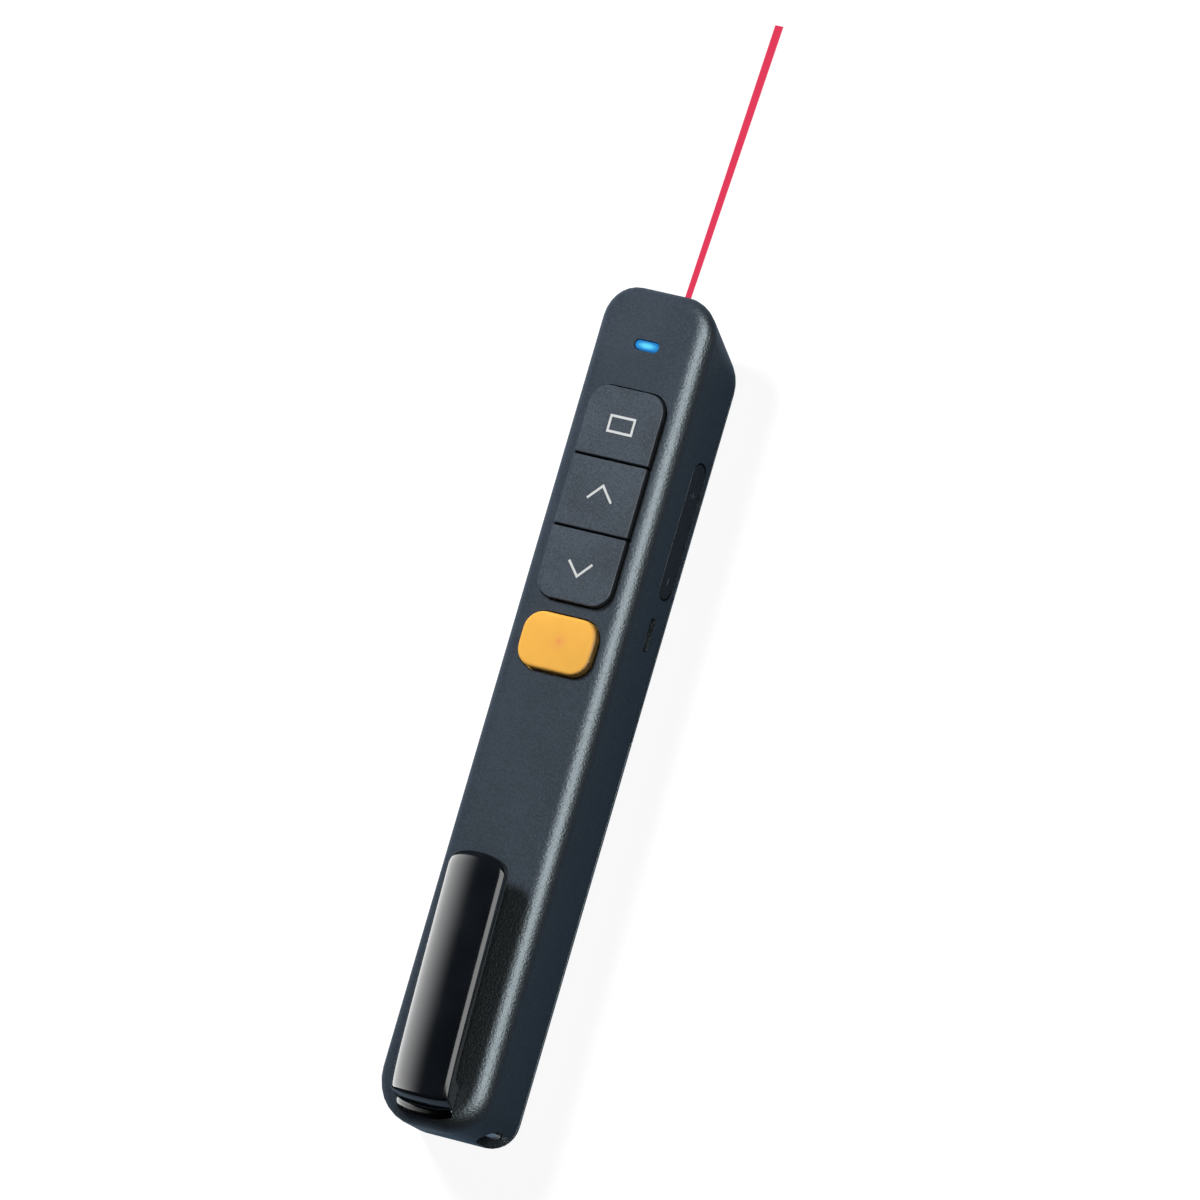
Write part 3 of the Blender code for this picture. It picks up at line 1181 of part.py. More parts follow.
def make_battery(wrap, nickel):
    centre = (0, CELL_LEVEL)
    shoulder = CELL_FRONT - CELL_NUB_LENGTH
    profile = [
        (CELL_RADIUS - CELL_EDGE, CELL_REAR),
        (CELL_RADIUS, CELL_REAR + CELL_EDGE),
        (CELL_RADIUS, shoulder - CELL_EDGE),
        (CELL_RADIUS - CELL_EDGE, shoulder),
        (CELL_NUB_RADIUS, shoulder),
        (CELL_NUB_RADIUS, CELL_FRONT),
    ]
    piece("battery_cell", turned(centre, profile), wrap)
    half, low = CONTACT_WIDTH / 2, CELL_LEVEL - CONTACT_HEIGHT / 2
    plate_high = (half, POSITIVE_REAR + CONTACT_THICKNESS, BOARD_TOP + CONTACT_ABOVE_BOARD)
    positive = piece("positive_contact", block((-half, POSITIVE_REAR, low), plate_high), nickel)
    tab_under = BOARD_TOP + SNUG_GAP
    tab = block(
        (half - CONTACT_TAB_WIDTH, POSITIVE_REAR + OVERLAP / 4, tab_under),
        (half - OVERLAP / 4, PARTITION_FRONT + CONTACT_TAB_LENGTH, tab_under + CONTACT_THICKNESS),
    )
    join(positive, "tab", tab)
    plate_front = SPRING_PLATE_REAR + CONTACT_THICKNESS
    plate = block((-half, SPRING_PLATE_REAR, low), (half, plate_front, low + CONTACT_HEIGHT))
    negative = piece("spring_plate", plate, nickel)
    tab = block(
        (-SPRING_TAB_END, SPRING_PLATE_REAR + OVERLAP / 4, LEAD_LEVEL),
        (-half + OVERLAP, plate_front - OVERLAP / 4, LEAD_LEVEL + CONTACT_TAB_WIDTH),
    )
    join(negative, "tab", tab)
    make_battery_spring(nickel)


def wire(name, points, radius, resolution, material):
    """A round wire along points, as a curve with filled ends."""
    curve = bpy.data.curves.new(name, "CURVE")
    curve.dimensions = "3D"
    curve.bevel_depth = radius
    curve.bevel_resolution = resolution
    curve.use_fill_caps = True
    spline = curve.splines.new("POLY")
    spline.points.add(len(points) - 1)
    for target, point in zip(spline.points, points, strict=True):
        target.co = (*point, 1)
    curve.materials.append(material)
    item = bpy.data.objects.new(name, curve)
    bpy.context.scene.collection.objects.link(item)
    return item


def make_battery_spring(nickel):
    """A conical coil between its plate and the cell's flat end; prints its least gap to itself."""
    count = SPRING_TURNS * SPRING_TURN_POINTS
    points = []
    for k in range(count + 1):
        share = k / count
        angle = 2 * math.pi * SPRING_TURNS * share
        radius = SPRING_BASE_RADIUS + (SPRING_TIP_RADIUS - SPRING_BASE_RADIUS) * share
        y = SPRING_REAR + SPRING_WIRE_RADIUS + (SPRING_LENGTH - 2 * SPRING_WIRE_RADIUS) * share
        points.append(Vector((radius * math.cos(angle), y, CELL_LEVEL + radius * math.sin(angle))))
    near = SPRING_TURN_POINTS // 2
    gaps = [(a - b).length for i, a in enumerate(points) for b in points[i + near :]]
    print(f"battery_spring's least gap to itself: {(min(gaps) - 2 * SPRING_WIRE_RADIUS) / MM:.2f} mm")
    wire("battery_spring", points, SPRING_WIRE_RADIUS, 1, nickel)


def smooth_route(corners, steps):
    """Points on a smooth curve through hand-chosen points, each run leaving and meeting its ends smoothly."""
    ends = [corners[0] * 2 - corners[1], *corners, corners[-1] * 2 - corners[-2]]
    points = []
    for before, start, stop, after in zip(ends, ends[1:], ends[2:], ends[3:], strict=False):
        leaving, meeting = (stop - before) / 2, (after - start) / 2
        for k in range(steps):
            t = k / steps
            ease = t * t * (3 - 2 * t)
            bends = leaving * (t * (1 - t) ** 2) - meeting * (t * t * (1 - t))
            points.append(start + (stop - start) * ease + bends)
    return [*points, corners[-1]]


def make_leads(black_sleeve, red_sleeve):
    """The lead from the spring's plate to the board, and the laser module's lead."""
    tab_x = -SPRING_TAB_END + LEAD_RADIUS + GAP
    tab_y = SPRING_PLATE_REAR + CONTACT_THICKNESS + GAP
    tab_z = LEAD_LEVEL + CONTACT_TAB_WIDTH / 2
    board_end = PARTITION_FRONT + LEAD_RUN_ON
    route = [
        Vector((tab_x, tab_y, tab_z)),
        Vector((tab_x, tab_y + LEAD_BEND / 3, tab_z)),
        Vector((-LEAD_OFFSET, tab_y + LEAD_BEND, LEAD_LEVEL)),
        Vector((-LEAD_OFFSET, tab_y + 2 * LEAD_BEND, LEAD_LEVEL)),
        Vector((-LEAD_OFFSET, FRONT_PARTITION - LEAD_BEND, LEAD_LEVEL)),
        Vector((-LEAD_OFFSET, board_end - LEAD_BEND, LEAD_LEVEL)),
        Vector((-LEAD_OFFSET, board_end, (LEAD_LEVEL + BOARD_UNDER) / 2 - LEAD_RADIUS)),
        Vector((-LEAD_OFFSET, board_end + LEAD_BEND / 3, BOARD_UNDER - GAP)),
    ]
    wire("battery_lead", smooth_route(route, 4), LEAD_RADIUS, 2, black_sleeve)
    rear = DRIVER_FRONT - DRIVER_LENGTH
    route = [
        Vector((0, rear - GAP, LASER_LEVEL)),
        Vector((0, rear - GAP - LASER_LEAD_RUN / 3, LASER_LEVEL)),
        Vector((0, rear - LASER_LEAD_RUN, (LASER_LEVEL + BOARD_UNDER) / 2)),
        Vector((0, rear - LASER_LEAD_RUN - GAP, BOARD_UNDER - GAP)),
    ]
    wire("laser_lead", smooth_route(route, 4), LASER_LEAD_RADIUS, 2, red_sleeve)


def make_receiver(plastic, metal, board):
    """The radio receiver in its bay: a head, a plug shell and the contact tongue in it."""
    middle = -RECEIVER_OFFSET
    half = RECEIVER_HEAD_WIDTH / 2
    low, high = (middle - half, RECEIVER_REAR), (middle + half, RECEIVER_HEAD_FRONT)
    outline = rounded_outline(low, high, KEY_EDGE, RECEIVER_CORNER, EDGE_STEPS)
    piece("receiver_case", prism(outline, RECEIVER_UNDER, RECEIVER_TOP), plastic)
    plug_rear = RECEIVER_HEAD_FRONT + SNUG_GAP
    half, half_height = PLUG_WIDTH / 2, PLUG_HEIGHT / 2
    low = (middle - half, plug_rear, RECEIVER_LEVEL - half_height)
    high = (middle + half, PLUG_FRONT, RECEIVER_LEVEL + half_height)
    shell = piece("receiver_plug", block(low, high), metal)
    inside = block(
        (low[0] + PLUG_SHEET, plug_rear - OVERRUN, low[2] + PLUG_SHEET),
        (high[0] - PLUG_SHEET, PLUG_FRONT + OVERRUN, high[2] - PLUG_SHEET),
    )
    cut(shell, "inside", inside)
    tongue = block(
        (low[0] + PLUG_SHEET + SNUG_GAP, plug_rear, high[2] - PLUG_SHEET - SNUG_GAP - TONGUE_THICKNESS),
        (high[0] - PLUG_SHEET - SNUG_GAP, PLUG_FRONT - TONGUE_SHORT, high[2] - PLUG_SHEET - SNUG_GAP),
    )
    piece("receiver_tongue", tongue, board)


def main():
    clear_scene()
    body_plastic = finish("body_plastic", (0.045, 0.055, 0.068), 0.55)
    key_plastic = finish("key_plastic", (0.055, 0.063, 0.075), 0.6)
    orange_plastic = finish("orange_plastic", (0.91, 0.45, 0.06), 0.45)
    gloss_black = finish("gloss_black", (0.012, 0.013, 0.015), 0.12)
    blue_light = finish("blue_light", (0.03, 0.34, 0.83), 0.3)
    clear_glass = finish("clear_glass", (0.6, 0.2, 0.22), 0.05, alpha=0.5)
    black_plastic = finish("black_plastic", (0.02, 0.02, 0.022), 0.5)
    steel = finish("steel", (0.55, 0.56, 0.58), 0.3, 1.0)
    nickel = finish("nickel", (0.68, 0.66, 0.6), 0.28, 1.0)
    brass = finish("brass", (0.72, 0.53, 0.22), 0.3, 1.0)
    board_green = finish("board_green", (0.02, 0.16, 0.07), 0.45)
    red_plastic = finish("red_plastic", (0.5, 0.03, 0.03), 0.45)
    lamp_white = finish("lamp_white", (0.85, 0.87, 0.8), 0.4)
    cell_wrap = finish("cell_wrap", (0.08, 0.2, 0.3), 0.3)
    make_upper_shell(body_plastic)
    make_lower_shell(body_plastic)
    make_battery_cover(body_plastic)
    make_keys(key_plastic)
    make_laser_button(orange_plastic)
    make_status_light(blue_light)
    make_volume_rocker(key_plastic)
    make_power_slider(black_plastic)
    make_pocket_clip(gloss_black)
    make_strap_bar(steel)
    make_laser_module(brass, clear_glass, steel, board_green)
    make_main_board(board_green)
    make_tact_switches(black_plastic, red_plastic)
    make_volume_switches(black_plastic, red_plastic)
    make_power_switch(steel, black_plastic)
    make_board_parts(black_plastic, steel, lamp_white)
    make_screws(steel)
    make_battery(cell_wrap, nickel)
    make_leads(black_plastic, red_plastic)
    make_receiver(black_plastic, steel, board_green)


main()
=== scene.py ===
"""Dresses the wireless presenter with its laser pointer: materials, the fine outer shapes, light and camera.

Everything is in the part's own frame: the underside lies on z = 0, the laser end points along +Y and the side
controls along +X. Shapes and grains are given in millimetres, lamps and the camera's place in metres.
"""

from __future__ import annotations

import json
import logging
import math
from collections.abc import Callable
from dataclasses import dataclass
from enum import Enum
from functools import cache, cached_property

import bpy
import numpy as np
from mathutils import Matrix, Vector

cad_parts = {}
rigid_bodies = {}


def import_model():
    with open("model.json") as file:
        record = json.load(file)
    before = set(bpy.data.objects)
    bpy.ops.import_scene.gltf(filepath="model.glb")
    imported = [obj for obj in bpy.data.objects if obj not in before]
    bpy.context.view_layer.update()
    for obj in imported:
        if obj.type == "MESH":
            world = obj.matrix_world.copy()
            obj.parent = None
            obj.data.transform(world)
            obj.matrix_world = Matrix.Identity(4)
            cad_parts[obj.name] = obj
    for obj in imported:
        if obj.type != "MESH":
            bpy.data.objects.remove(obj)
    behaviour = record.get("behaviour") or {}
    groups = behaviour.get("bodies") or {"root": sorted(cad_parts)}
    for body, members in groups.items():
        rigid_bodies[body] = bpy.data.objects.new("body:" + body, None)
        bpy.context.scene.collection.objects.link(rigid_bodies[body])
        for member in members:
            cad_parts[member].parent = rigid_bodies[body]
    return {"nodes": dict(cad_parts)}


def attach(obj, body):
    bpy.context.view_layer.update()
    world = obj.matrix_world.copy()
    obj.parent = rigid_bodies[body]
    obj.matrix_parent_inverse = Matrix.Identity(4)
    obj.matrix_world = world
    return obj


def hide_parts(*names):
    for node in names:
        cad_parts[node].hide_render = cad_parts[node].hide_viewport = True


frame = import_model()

MM = 0.001
SHARP_TURN = math.radians(35)  # Edges that turn by more than this are shaded sharp
LOG = logging.getLogger("presenter")
Pair = tuple[float, float]
Triple = tuple[float, float, float]
Radii = tuple[float, float, float, float]


# Meshes: whole arrays of points and faces


@dataclass
class Skin:
    """A closed surface as an array of points and lists of faces."""

    points: np.ndarray  # The points, one row each, in millimetres
    faces: list[tuple[int, ...]]  # Faces as tuples of point numbers, counter-clockwise seen from outside

    def __add__(self, other: Skin) -> Skin:
        """Both surfaces in one, the other's face numbers moved up by the count of points before them."""
        moved = [tuple(number + len(self.points) for number in face) for face in other.faces]
        return Skin(np.vstack((self.points, other.points)), self.faces + moved)

    def laid_along_x(self) -> Skin:
        """The surface with its upright direction laid along X, by a cyclic swap that keeps faces outwards."""
        return Skin(np.roll(self.points, 1, axis=1), self.faces)


def ring_skin(rings: np.ndarray) -> Skin:
    """A closed skin over rings of equally many points.

    Point j of ring i joins point j + 1 and ring i + 1, so each patch is (i, j), (i, j + 1), (i + 1, j + 1),
    (i + 1, j). One face closes the first ring and one the last.

    Args:
        rings: Points of shape (rings, points, 3), counter-clockwise seen from the last ring.

    Returns:
        The closed skin.
    """
    count, size, _ = rings.shape
    number = np.arange(count * size).reshape(count, size)
    ahead = np.roll(number, -1, axis=1)
    patches = np.stack((number[:-1], ahead[:-1], ahead[1:], number[1:]), axis=-1).reshape(-1, 4)
    faces = [tuple(face) for face in patches.tolist()]
    faces += [tuple(number[0, ::-1].tolist()), tuple(number[-1].tolist())]
    return Skin(rings.reshape(-1, 3), faces)


def rounded_rectangle(half_u: float, half_v: float, radii: Radii, steps: int) -> np.ndarray:
    """Points round a rectangle with rounded corners, counter-clockwise.

    Each corner is a quarter circle: its centre plus the radius times (cos a, sin a), a running over 90 degrees.

    Args:
        half_u: Half the width.
        half_v: Half the length.
        radii: Corner radii at (+u, +v), (-u, +v), (-u, -v) and (+u, -v).
        steps: Steps in each corner.

    Returns:
        Points of shape (4 * (steps + 1), 2).
    """
    radius = np.array(radii)[:, None]
    sign_u, sign_v = np.array([[1], [-1], [-1], [1]]), np.array([[1], [1], [-1], [-1]])
    angle = np.linspace(0, np.pi / 2, steps + 1)[None, :] + np.arange(4)[:, None] * np.pi / 2
    u = sign_u * (half_u - radius) + radius * np.cos(angle)
    v = sign_v * (half_v - radius) + radius * np.sin(angle)
    return np.stack((u.ravel(), v.ravel()), axis=-1)


def circle(radius: float, sides: int) -> np.ndarray:
    """Points round a circle: the radius times (cos a, sin a)."""
    angle = np.arange(sides) / sides * 2 * np.pi
    return radius * np.stack((np.cos(angle), np.sin(angle)), axis=-1)


def upright(outline: np.ndarray, low: float, high: float, centre: Pair = (0, 0)) -> Skin:
    """A prism: the outline moved to its centre, once at the low and once at the high level."""
    levels = np.array([low, high])[:, None, None]
    flat = np.broadcast_to(outline + np.array(centre), (2, *outline.shape))
    return ring_skin(np.concatenate((flat, np.broadcast_to(levels, (*flat.shape[:2], 1))), axis=2))


@dataclass(frozen=True)
class Cushion:
    """A moulded cap: a rounded rectangle with a quarter-round edge and a slightly crowned top."""

    half_u: float  # Half the width
    half_v: float  # Half the length
    radii: Radii  # Corner radii at (+u, +v), (-u, +v), (-u, -v) and (+u, -v)
    edge: float  # Radius of the top edge
    crown: float  # How much higher the middle is than the start of the edge
    corner_steps: int = 14  # Steps in each corner
    edge_steps: int = 8  # Steps up the edge
    top_steps: int = 13  # Steps over the top towards the middle
    least_corner: float = 0.3  # The least corner radius on the edge, as a share of the edge's
    innermost: float = 0.04  # How small the last ring on the top is

    def skin(self, low: float, high: float, centre: Pair) -> Skin:
        """The cap's surface between two levels.

        Up the edge a ring is drawn in by edge * (1 - cos t) and lies at edge * sin t. On the top a ring is the
        last one shrunk by a share s, at high - crown * s squared.

        Args:
            low: Level of the cap's flat foot.
            high: Level of the highest point.
            centre: The cap's middle.

        Returns:
            The closed surface.
        """
        middle = np.array(centre)
        turns = np.linspace(0, np.pi / 2, self.edge_steps + 1)[1:]
        shoulder = high - self.crown - self.edge
        insets = np.concatenate(([0, 0], self.edge * (1 - np.cos(turns))))
        levels = np.concatenate(([low, shoulder], shoulder + self.edge * np.sin(turns)))
        rings = []
        for inset, level in zip(insets, levels, strict=True):
            radii = tuple(max(radius - inset, self.edge * self.least_corner) for radius in self.radii)
            outline = rounded_rectangle(self.half_u - inset, self.half_v - inset, radii, self.corner_steps)
            rings.append(np.column_stack((outline + middle, np.full(len(outline), level))))
        shares = np.linspace(1, self.innermost, self.top_steps + 1)[1:, None, None]
        flat = (rings[-1][None, :, :2] - middle) * shares + middle
        heights = np.broadcast_to(high - self.crown * shares**2, (*flat.shape[:2], 1))
        return ring_skin(np.concatenate((np.array(rings), np.concatenate((flat, heights), axis=2))))


def ribbon(route: np.ndarray, width: float, closed: bool) -> np.ndarray:
    """The outline of a line drawn with a width, mitred at its corners.

    At each corner the two sides lie half a width off along the mean of the neighbouring normals, divided by the
    cosine of half the turn.

    Args:
        route: The line's points, shape (n, 2), counter-clockwise where it is closed.
        width: The line's width.
        closed: Whether the last point joins the first.

    Returns:
        The two sides, shape (2, n, 2): the right-hand one first.
    """
    ahead = np.roll(route, -1, axis=0) - route
    if not closed:
        ahead[-1] = ahead[-2]
    ahead /= np.linalg.norm(ahead, axis=1, keepdims=True)
    behind = np.roll(ahead, 1, axis=0)
    if not closed:
        behind[0] = ahead[0]
    normal = np.stack((-(ahead + behind)[:, 1], (ahead + behind)[:, 0]), axis=-1)
    normal /= np.linalg.norm(normal, axis=1, keepdims=True)
    side = np.stack((-ahead[:, 1], ahead[:, 0]), axis=-1)
    reach = width / 2 / np.sum(normal * side, axis=1, keepdims=True)
    return np.stack((route - normal * reach, route + normal * reach))


def ink_skin(route: np.ndarray, width: float, closed: bool, low: float, high: float) -> Skin:
    """A printed line as a thin closed solid between two levels, from the ribbon's two sides."""
    right, left = ribbon(route, width, closed)
    size = len(route)
    sides = [(side, level) for level in (low, high) for side in (right, left)]
    points = np.concatenate([np.column_stack((side, np.full(size, level))) for side, level in sides])
    start = np.arange(size if closed else size - 1)
    stop = (start + 1) % size
    rows = {name: k * size for k, name in enumerate(("right_low", "left_low", "right_high", "left_high"))}
    top, bottom = ("right_high", "left_high"), ("left_low", "right_low")
    right_side, left_side = ("right_low", "right_high"), ("left_high", "left_low")
    faces = []
    for near, far in (top, bottom, right_side, left_side):
        patch = np.stack((start + rows[near], stop + rows[near], stop + rows[far], start + rows[far]), axis=-1)
        faces += [tuple(face) for face in patch.tolist()]
    if not closed:
        first = [rows[name] for name in ("right_low", "right_high", "left_high", "left_low")]
        last = [rows[name] + size - 1 for name in ("left_low", "left_high", "right_high", "right_low")]
        faces += [tuple(first), tuple(last)]
    return Skin(points, faces)


def make_object(name: str, skin: Skin, material: bpy.types.Material) -> bpy.types.Object:
    """A mesh object at the origin of the scene, with smooth faces and sharp edges where they turn a lot."""
    mesh = bpy.data.meshes.new(name)
    mesh.from_pydata((skin.points * MM).tolist(), [], skin.faces)
    mesh.validate()
    mesh.materials.append(material)
    mesh.polygons.foreach_set("use_smooth", np.ones(len(mesh.polygons), dtype=bool))
    mesh.set_sharp_from_angle(angle=SHARP_TURN)
    item = bpy.data.objects.new(name, mesh)
    bpy.context.scene.collection.objects.link(item)
    return item


# Materials: expressions on sockets


def operator(operation: str) -> tuple[Callable, Callable]:
    """A Python operator of `Wire` as a Math node, and its reflected form, which swaps the two values."""

    def plain(self: Wire, other: Wire | float) -> Wire:
        """This and the other."""
        return self.maths(operation, self, other)

    def reflected(self: Wire, other: Wire | float) -> Wire:
        """The other and this."""
        return self.maths(operation, other, self)

    return plain, reflected


class Wire:
    """A shader socket on which sums, products and blends are written as Python expressions."""

    __add__, __radd__ = operator("ADD")
    __sub__, __rsub__ = operator("SUBTRACT")
    __mul__, __rmul__ = operator("MULTIPLY")
    __truediv__, __rtruediv__ = operator("DIVIDE")
    __pow__, __rpow__ = operator("POWER")

    def __init__(self, bench: Bench, socket: bpy.types.NodeSocket) -> None:
        """Keeps the node tree's bench and the socket."""
        self.bench = bench
        self.socket = socket

    def maths(self, operation: str, first: Wire | float, second: Wire | float) -> Wire:
        """A Math node of one operation on two values."""
        return self.bench.add("ShaderNodeMath", {0: first, 1: second}, operation=operation)

    def larger(self, other: Wire | float) -> Wire:
        """The larger of this and the other."""
        return self.maths("MAXIMUM", self, other)

    def choose(self, off: Wire | float, on: Wire | float) -> Wire:
        """The first value where this is 0 and the second where it is 1."""
        return off * (1 - self) + on * self

    def between(self, low: float, high: float) -> Wire:
        """A smooth step: 0 at low and below, 1 at high and above; falling where low is the larger."""
        limits = {"From Min": low, "From Max": high, "Value": self}
        return self.bench.add("ShaderNodeMapRange", limits, interpolation_type="SMOOTHSTEP")

    def ramp(self, low: float, high: float, first: float, last: float) -> Wire:
        """A straight ramp: the first value at low and below, the last at high and above."""
        limits = {"From Min": low, "From Max": high, "To Min": first, "To Max": last, "Value": self}
        return self.bench.add("ShaderNodeMapRange", limits)


Given = Wire | float | tuple[float, ...]


class Bench:
    """The node tree of a material, the world or a lamp, with the few moves that they all use."""

    def __init__(
        self, owner: bpy.types.Material | bpy.types.World | bpy.types.Light, shader: str = "Principled BSDF"
    ) -> None:
        """Switches the owner's nodes on and keeps the node that the rest feeds."""
        owner.use_nodes = True
        self.owner = owner
        self.tree = owner.node_tree
        self.shader = self.tree.nodes[shader]

    def add(
        self, kind: str, inputs: dict[str | int, Given] | None = None, output: str | int = 0, **settings: str
    ) -> Wire:
        """Adds a node.

        Args:
            kind: The node's type.
            inputs: Values or wires by socket name or number.
            output: The name or number of the socket to give back.
            **settings: The node's own settings, set first.

        Returns:
            The output as a wire.
        """
        node = self.tree.nodes.new(kind)
        for name, value in settings.items():
            setattr(node, name, value)
        for name, value in (inputs or {}).items():
            self.set_socket(node.inputs[name], value)
        return Wire(self, node.outputs[output])

    def set_socket(self, socket: bpy.types.NodeSocket, value: Given) -> None:
        """Links a wire to a socket, or sets the socket's own value."""
        if isinstance(value, Wire):
            self.tree.links.new(value.socket, socket)
        else:
            socket.default_value = value

    def feed(self, **inputs: Given) -> None:
        """Sets the shader's sockets; an underscore in a keyword stands for a space."""
        for name, value in inputs.items():
            self.set_socket(self.shader.inputs[name.replace("_", " ")], value)

    @cached_property
    def place(self) -> Wire:
        """The Object coordinates, in metres."""
        return self.add("ShaderNodeTexCoord", output="Object")

    def axis(self, name: str) -> Wire:
        """One of the Object coordinates X, Y or Z, in millimetres."""
        return self.part(self.place, name) / MM

    def part(self, vector: Wire, name: str) -> Wire:
        """One part of a vector: X, Y or Z."""
        return self.add("ShaderNodeSeparateXYZ", {0: vector}, name)

    def ray(self, kind: str) -> Wire:
        """1 where a light path is of a kind, such as Camera or Glossy, else 0."""
        return self.add("ShaderNodeLightPath", output=f"Is {kind} Ray")

    def scaled(self, scale: Triple, centre: Triple = (0, 0, 0)) -> Wire:
        """The Object coordinates less a centre, times a scale for each axis."""
        ends = {0: self.place, 1: tuple(part * MM for part in centre)}
        moved = self.add("ShaderNodeVectorMath", ends, operation="SUBTRACT")
        return self.add("ShaderNodeVectorMath", {0: moved, 1: scale}, operation="MULTIPLY")

    def distance(self, centre: Triple, stretch: Triple = (1, 1, 1)) -> Wire:
        """The distance in millimetres from a centre, each axis stretched first."""
        spread = self.scaled(tuple(share / MM for share in stretch), centre)
        return self.add("ShaderNodeVectorMath", {0: spread}, 1, operation="LENGTH")

    def noise(self, size: float, detail: float = 3, where: Wire | None = None) -> Wire:
        """Noise from 0 to 1 whose features are about as large as a size."""
        inputs = {"Vector": where or self.place, "Scale": 1 / (size * MM), "Detail": detail}
        return self.add("ShaderNodeTexNoise", inputs)

    def mixed(self, share: Given, first: Given, second: Given) -> Wire:
        """A colour between two, by a share."""
        return self.add("ShaderNodeMix", {"Factor": share, 6: first, 7: second}, 2, data_type="RGBA")

    def bump(self, height: Wire, depth: float) -> Wire:
        """A bump from a height between 0 and 1, times its depth."""
        return self.add("ShaderNodeBump", {"Height": height, "Distance": depth * MM, "Strength": 1}, "Normal")


def shade(colour: Triple, share: float = 1) -> tuple[float, float, float, float]:
    """A colour made lighter or darker by a share, with full alpha."""
    return (*(min(part * share, 1.0) for part in colour), 1.0)


@dataclass(frozen=True)
class Finish:
    """What every finish has. Each kind feeds the shader in its own way."""

    name: str  # The material's name
    colour: Triple  # Its main colour

    def make(self) -> bpy.types.Material:
        """The finish as a new material."""
        bench = Bench(bpy.data.materials.new(self.name))
        self.dress(bench)
        return bench.owner

    def dress(self, bench: Bench) -> None:
        """Feeds the shader."""
        raise NotImplementedError


@dataclass(frozen=True)
class Moulded(Finish):
    """Moulded plastic with a fine spark-eroded grain, slightly uneven in tone and in shine."""

    roughness: float  # Its mean roughness
    grain: float = 0.16  # Size of the grain
    depth: float = 0.02  # Depth of the grain
    specular: float = 0.5  # The shader's specular level
    wear: float = 0.08  # How much lighter or darker the tone gets
    tint: Triple = (1, 1, 1)  # The colour of its shine seen face on
    cloud: float = 9  # Size of the broad patches
    fineness: float = 0.65  # The grain's share in the tone; the patches have the rest
    spread: float = 0.05  # How far the roughness strays from its mean

    def dress(self, bench: Bench) -> None:
        """A tone from broad and fine noise, a roughness from the grain, and the grain as a bump."""
        cloud, grain = bench.noise(self.cloud, 4), bench.noise(self.grain, 2)
        tone = (cloud * (1 - self.fineness) + grain * self.fineness).between(0.3, 0.7)
        bench.feed(
            Base_Color=bench.mixed(tone, shade(self.colour, 1 - self.wear), shade(self.colour, 1 + self.wear)),
            Roughness=self.roughness - self.spread + grain * (2 * self.spread),
            Normal=bench.bump(grain, self.depth),
            Specular_IOR_Level=self.specular,
            Specular_Tint=(*self.tint, 1),
        )


@dataclass(frozen=True)
class Polished(Finish):
    """Polished plastic: nearly mirror smooth, with faint haze in patches and a very shallow waviness."""

    roughness: float  # Its least roughness
    wave: float = 0.002  # Depth of the waviness

    def dress(self, bench: Bench) -> None:
        """Haze from broad noise and long scuffs raise the roughness, and slow noise is the bump."""
        haze = bench.noise(7, 5).between(0.35, 0.75)
        scuff = bench.noise(0.5, 4, bench.scaled((1, 0.08, 1))).between(0.55, 0.8)
        bench.feed(
            Base_Color=bench.mixed(haze, shade(self.colour, 0.9), shade(self.colour, 1.25)),
            Roughness=self.roughness + haze * 0.03 + scuff * 0.04,
            Normal=bench.bump(bench.noise(5, 1), self.wave),
        )


@dataclass(frozen=True)
class Orange(Finish):
    """The laser button's orange plastic, with a faint soft rosy spot in the middle of its top."""

    name: str = "orange_plastic"
    colour: Triple = (0.89, 0.46, 0.08)
    spot: Triple = (0.8, 0.2, 0.11)  # The spot's colour
    centre: Triple = (0.45, 11.1, 16.9)  # The middle of the top

    def dress(self, bench: Bench) -> None:
        """Fine grain, a cloudy tone, and the spot: a heart within 0.8 mm and a cloudy halo gone at 2.2 mm."""
        grain, cloud = bench.noise(0.14, 2), bench.noise(5, 3)
        away = bench.distance(self.centre)
        halo, heart = away.between(2.2, 0.3) * cloud.between(0.2, 0.6), away.between(0.8, 0.1)
        plain = bench.mixed(cloud.between(0.3, 0.7), shade(self.colour, 0.97), shade(self.colour, 1.04))
        bench.feed(
            Base_Color=bench.mixed(halo * 0.35 + heart * 0.3, plain, shade(self.spot)),
            Roughness=0.48 + grain * 0.12,
            Normal=bench.bump(grain, 0.01),
            Specular_IOR_Level=0.15,
        )


@dataclass(frozen=True)
class Lit(Finish):
    """The status light's pill of tinted plastic, lit from below and brightest at its middle."""

    name: str = "blue_light"
    colour: Triple = (0.012, 0.17, 0.46)
    bright: Triple = (0.1, 0.56, 0.84)  # The colour at the middle
    centre: Triple = (0, 62.65, 15.5)  # The middle of the pill's face
    glow: float = 0.65  # How strongly it shines

    def dress(self, bench: Bench) -> None:
        """A light that falls off with the distance from the middle, stretched along the pill."""
        near = bench.distance(self.centre, (0.5, 1.55, 1)).between(1.15, 0.2)
        bench.feed(
            Base_Color=bench.mixed(near, shade(self.colour, 0.6), shade(self.bright, 0.6)),
            Emission_Color=bench.mixed(near, shade(self.colour), shade(self.bright)),
            Emission_Strength=self.glow,
            Roughness=0.25 + bench.noise(0.3) * 0.1,
        )


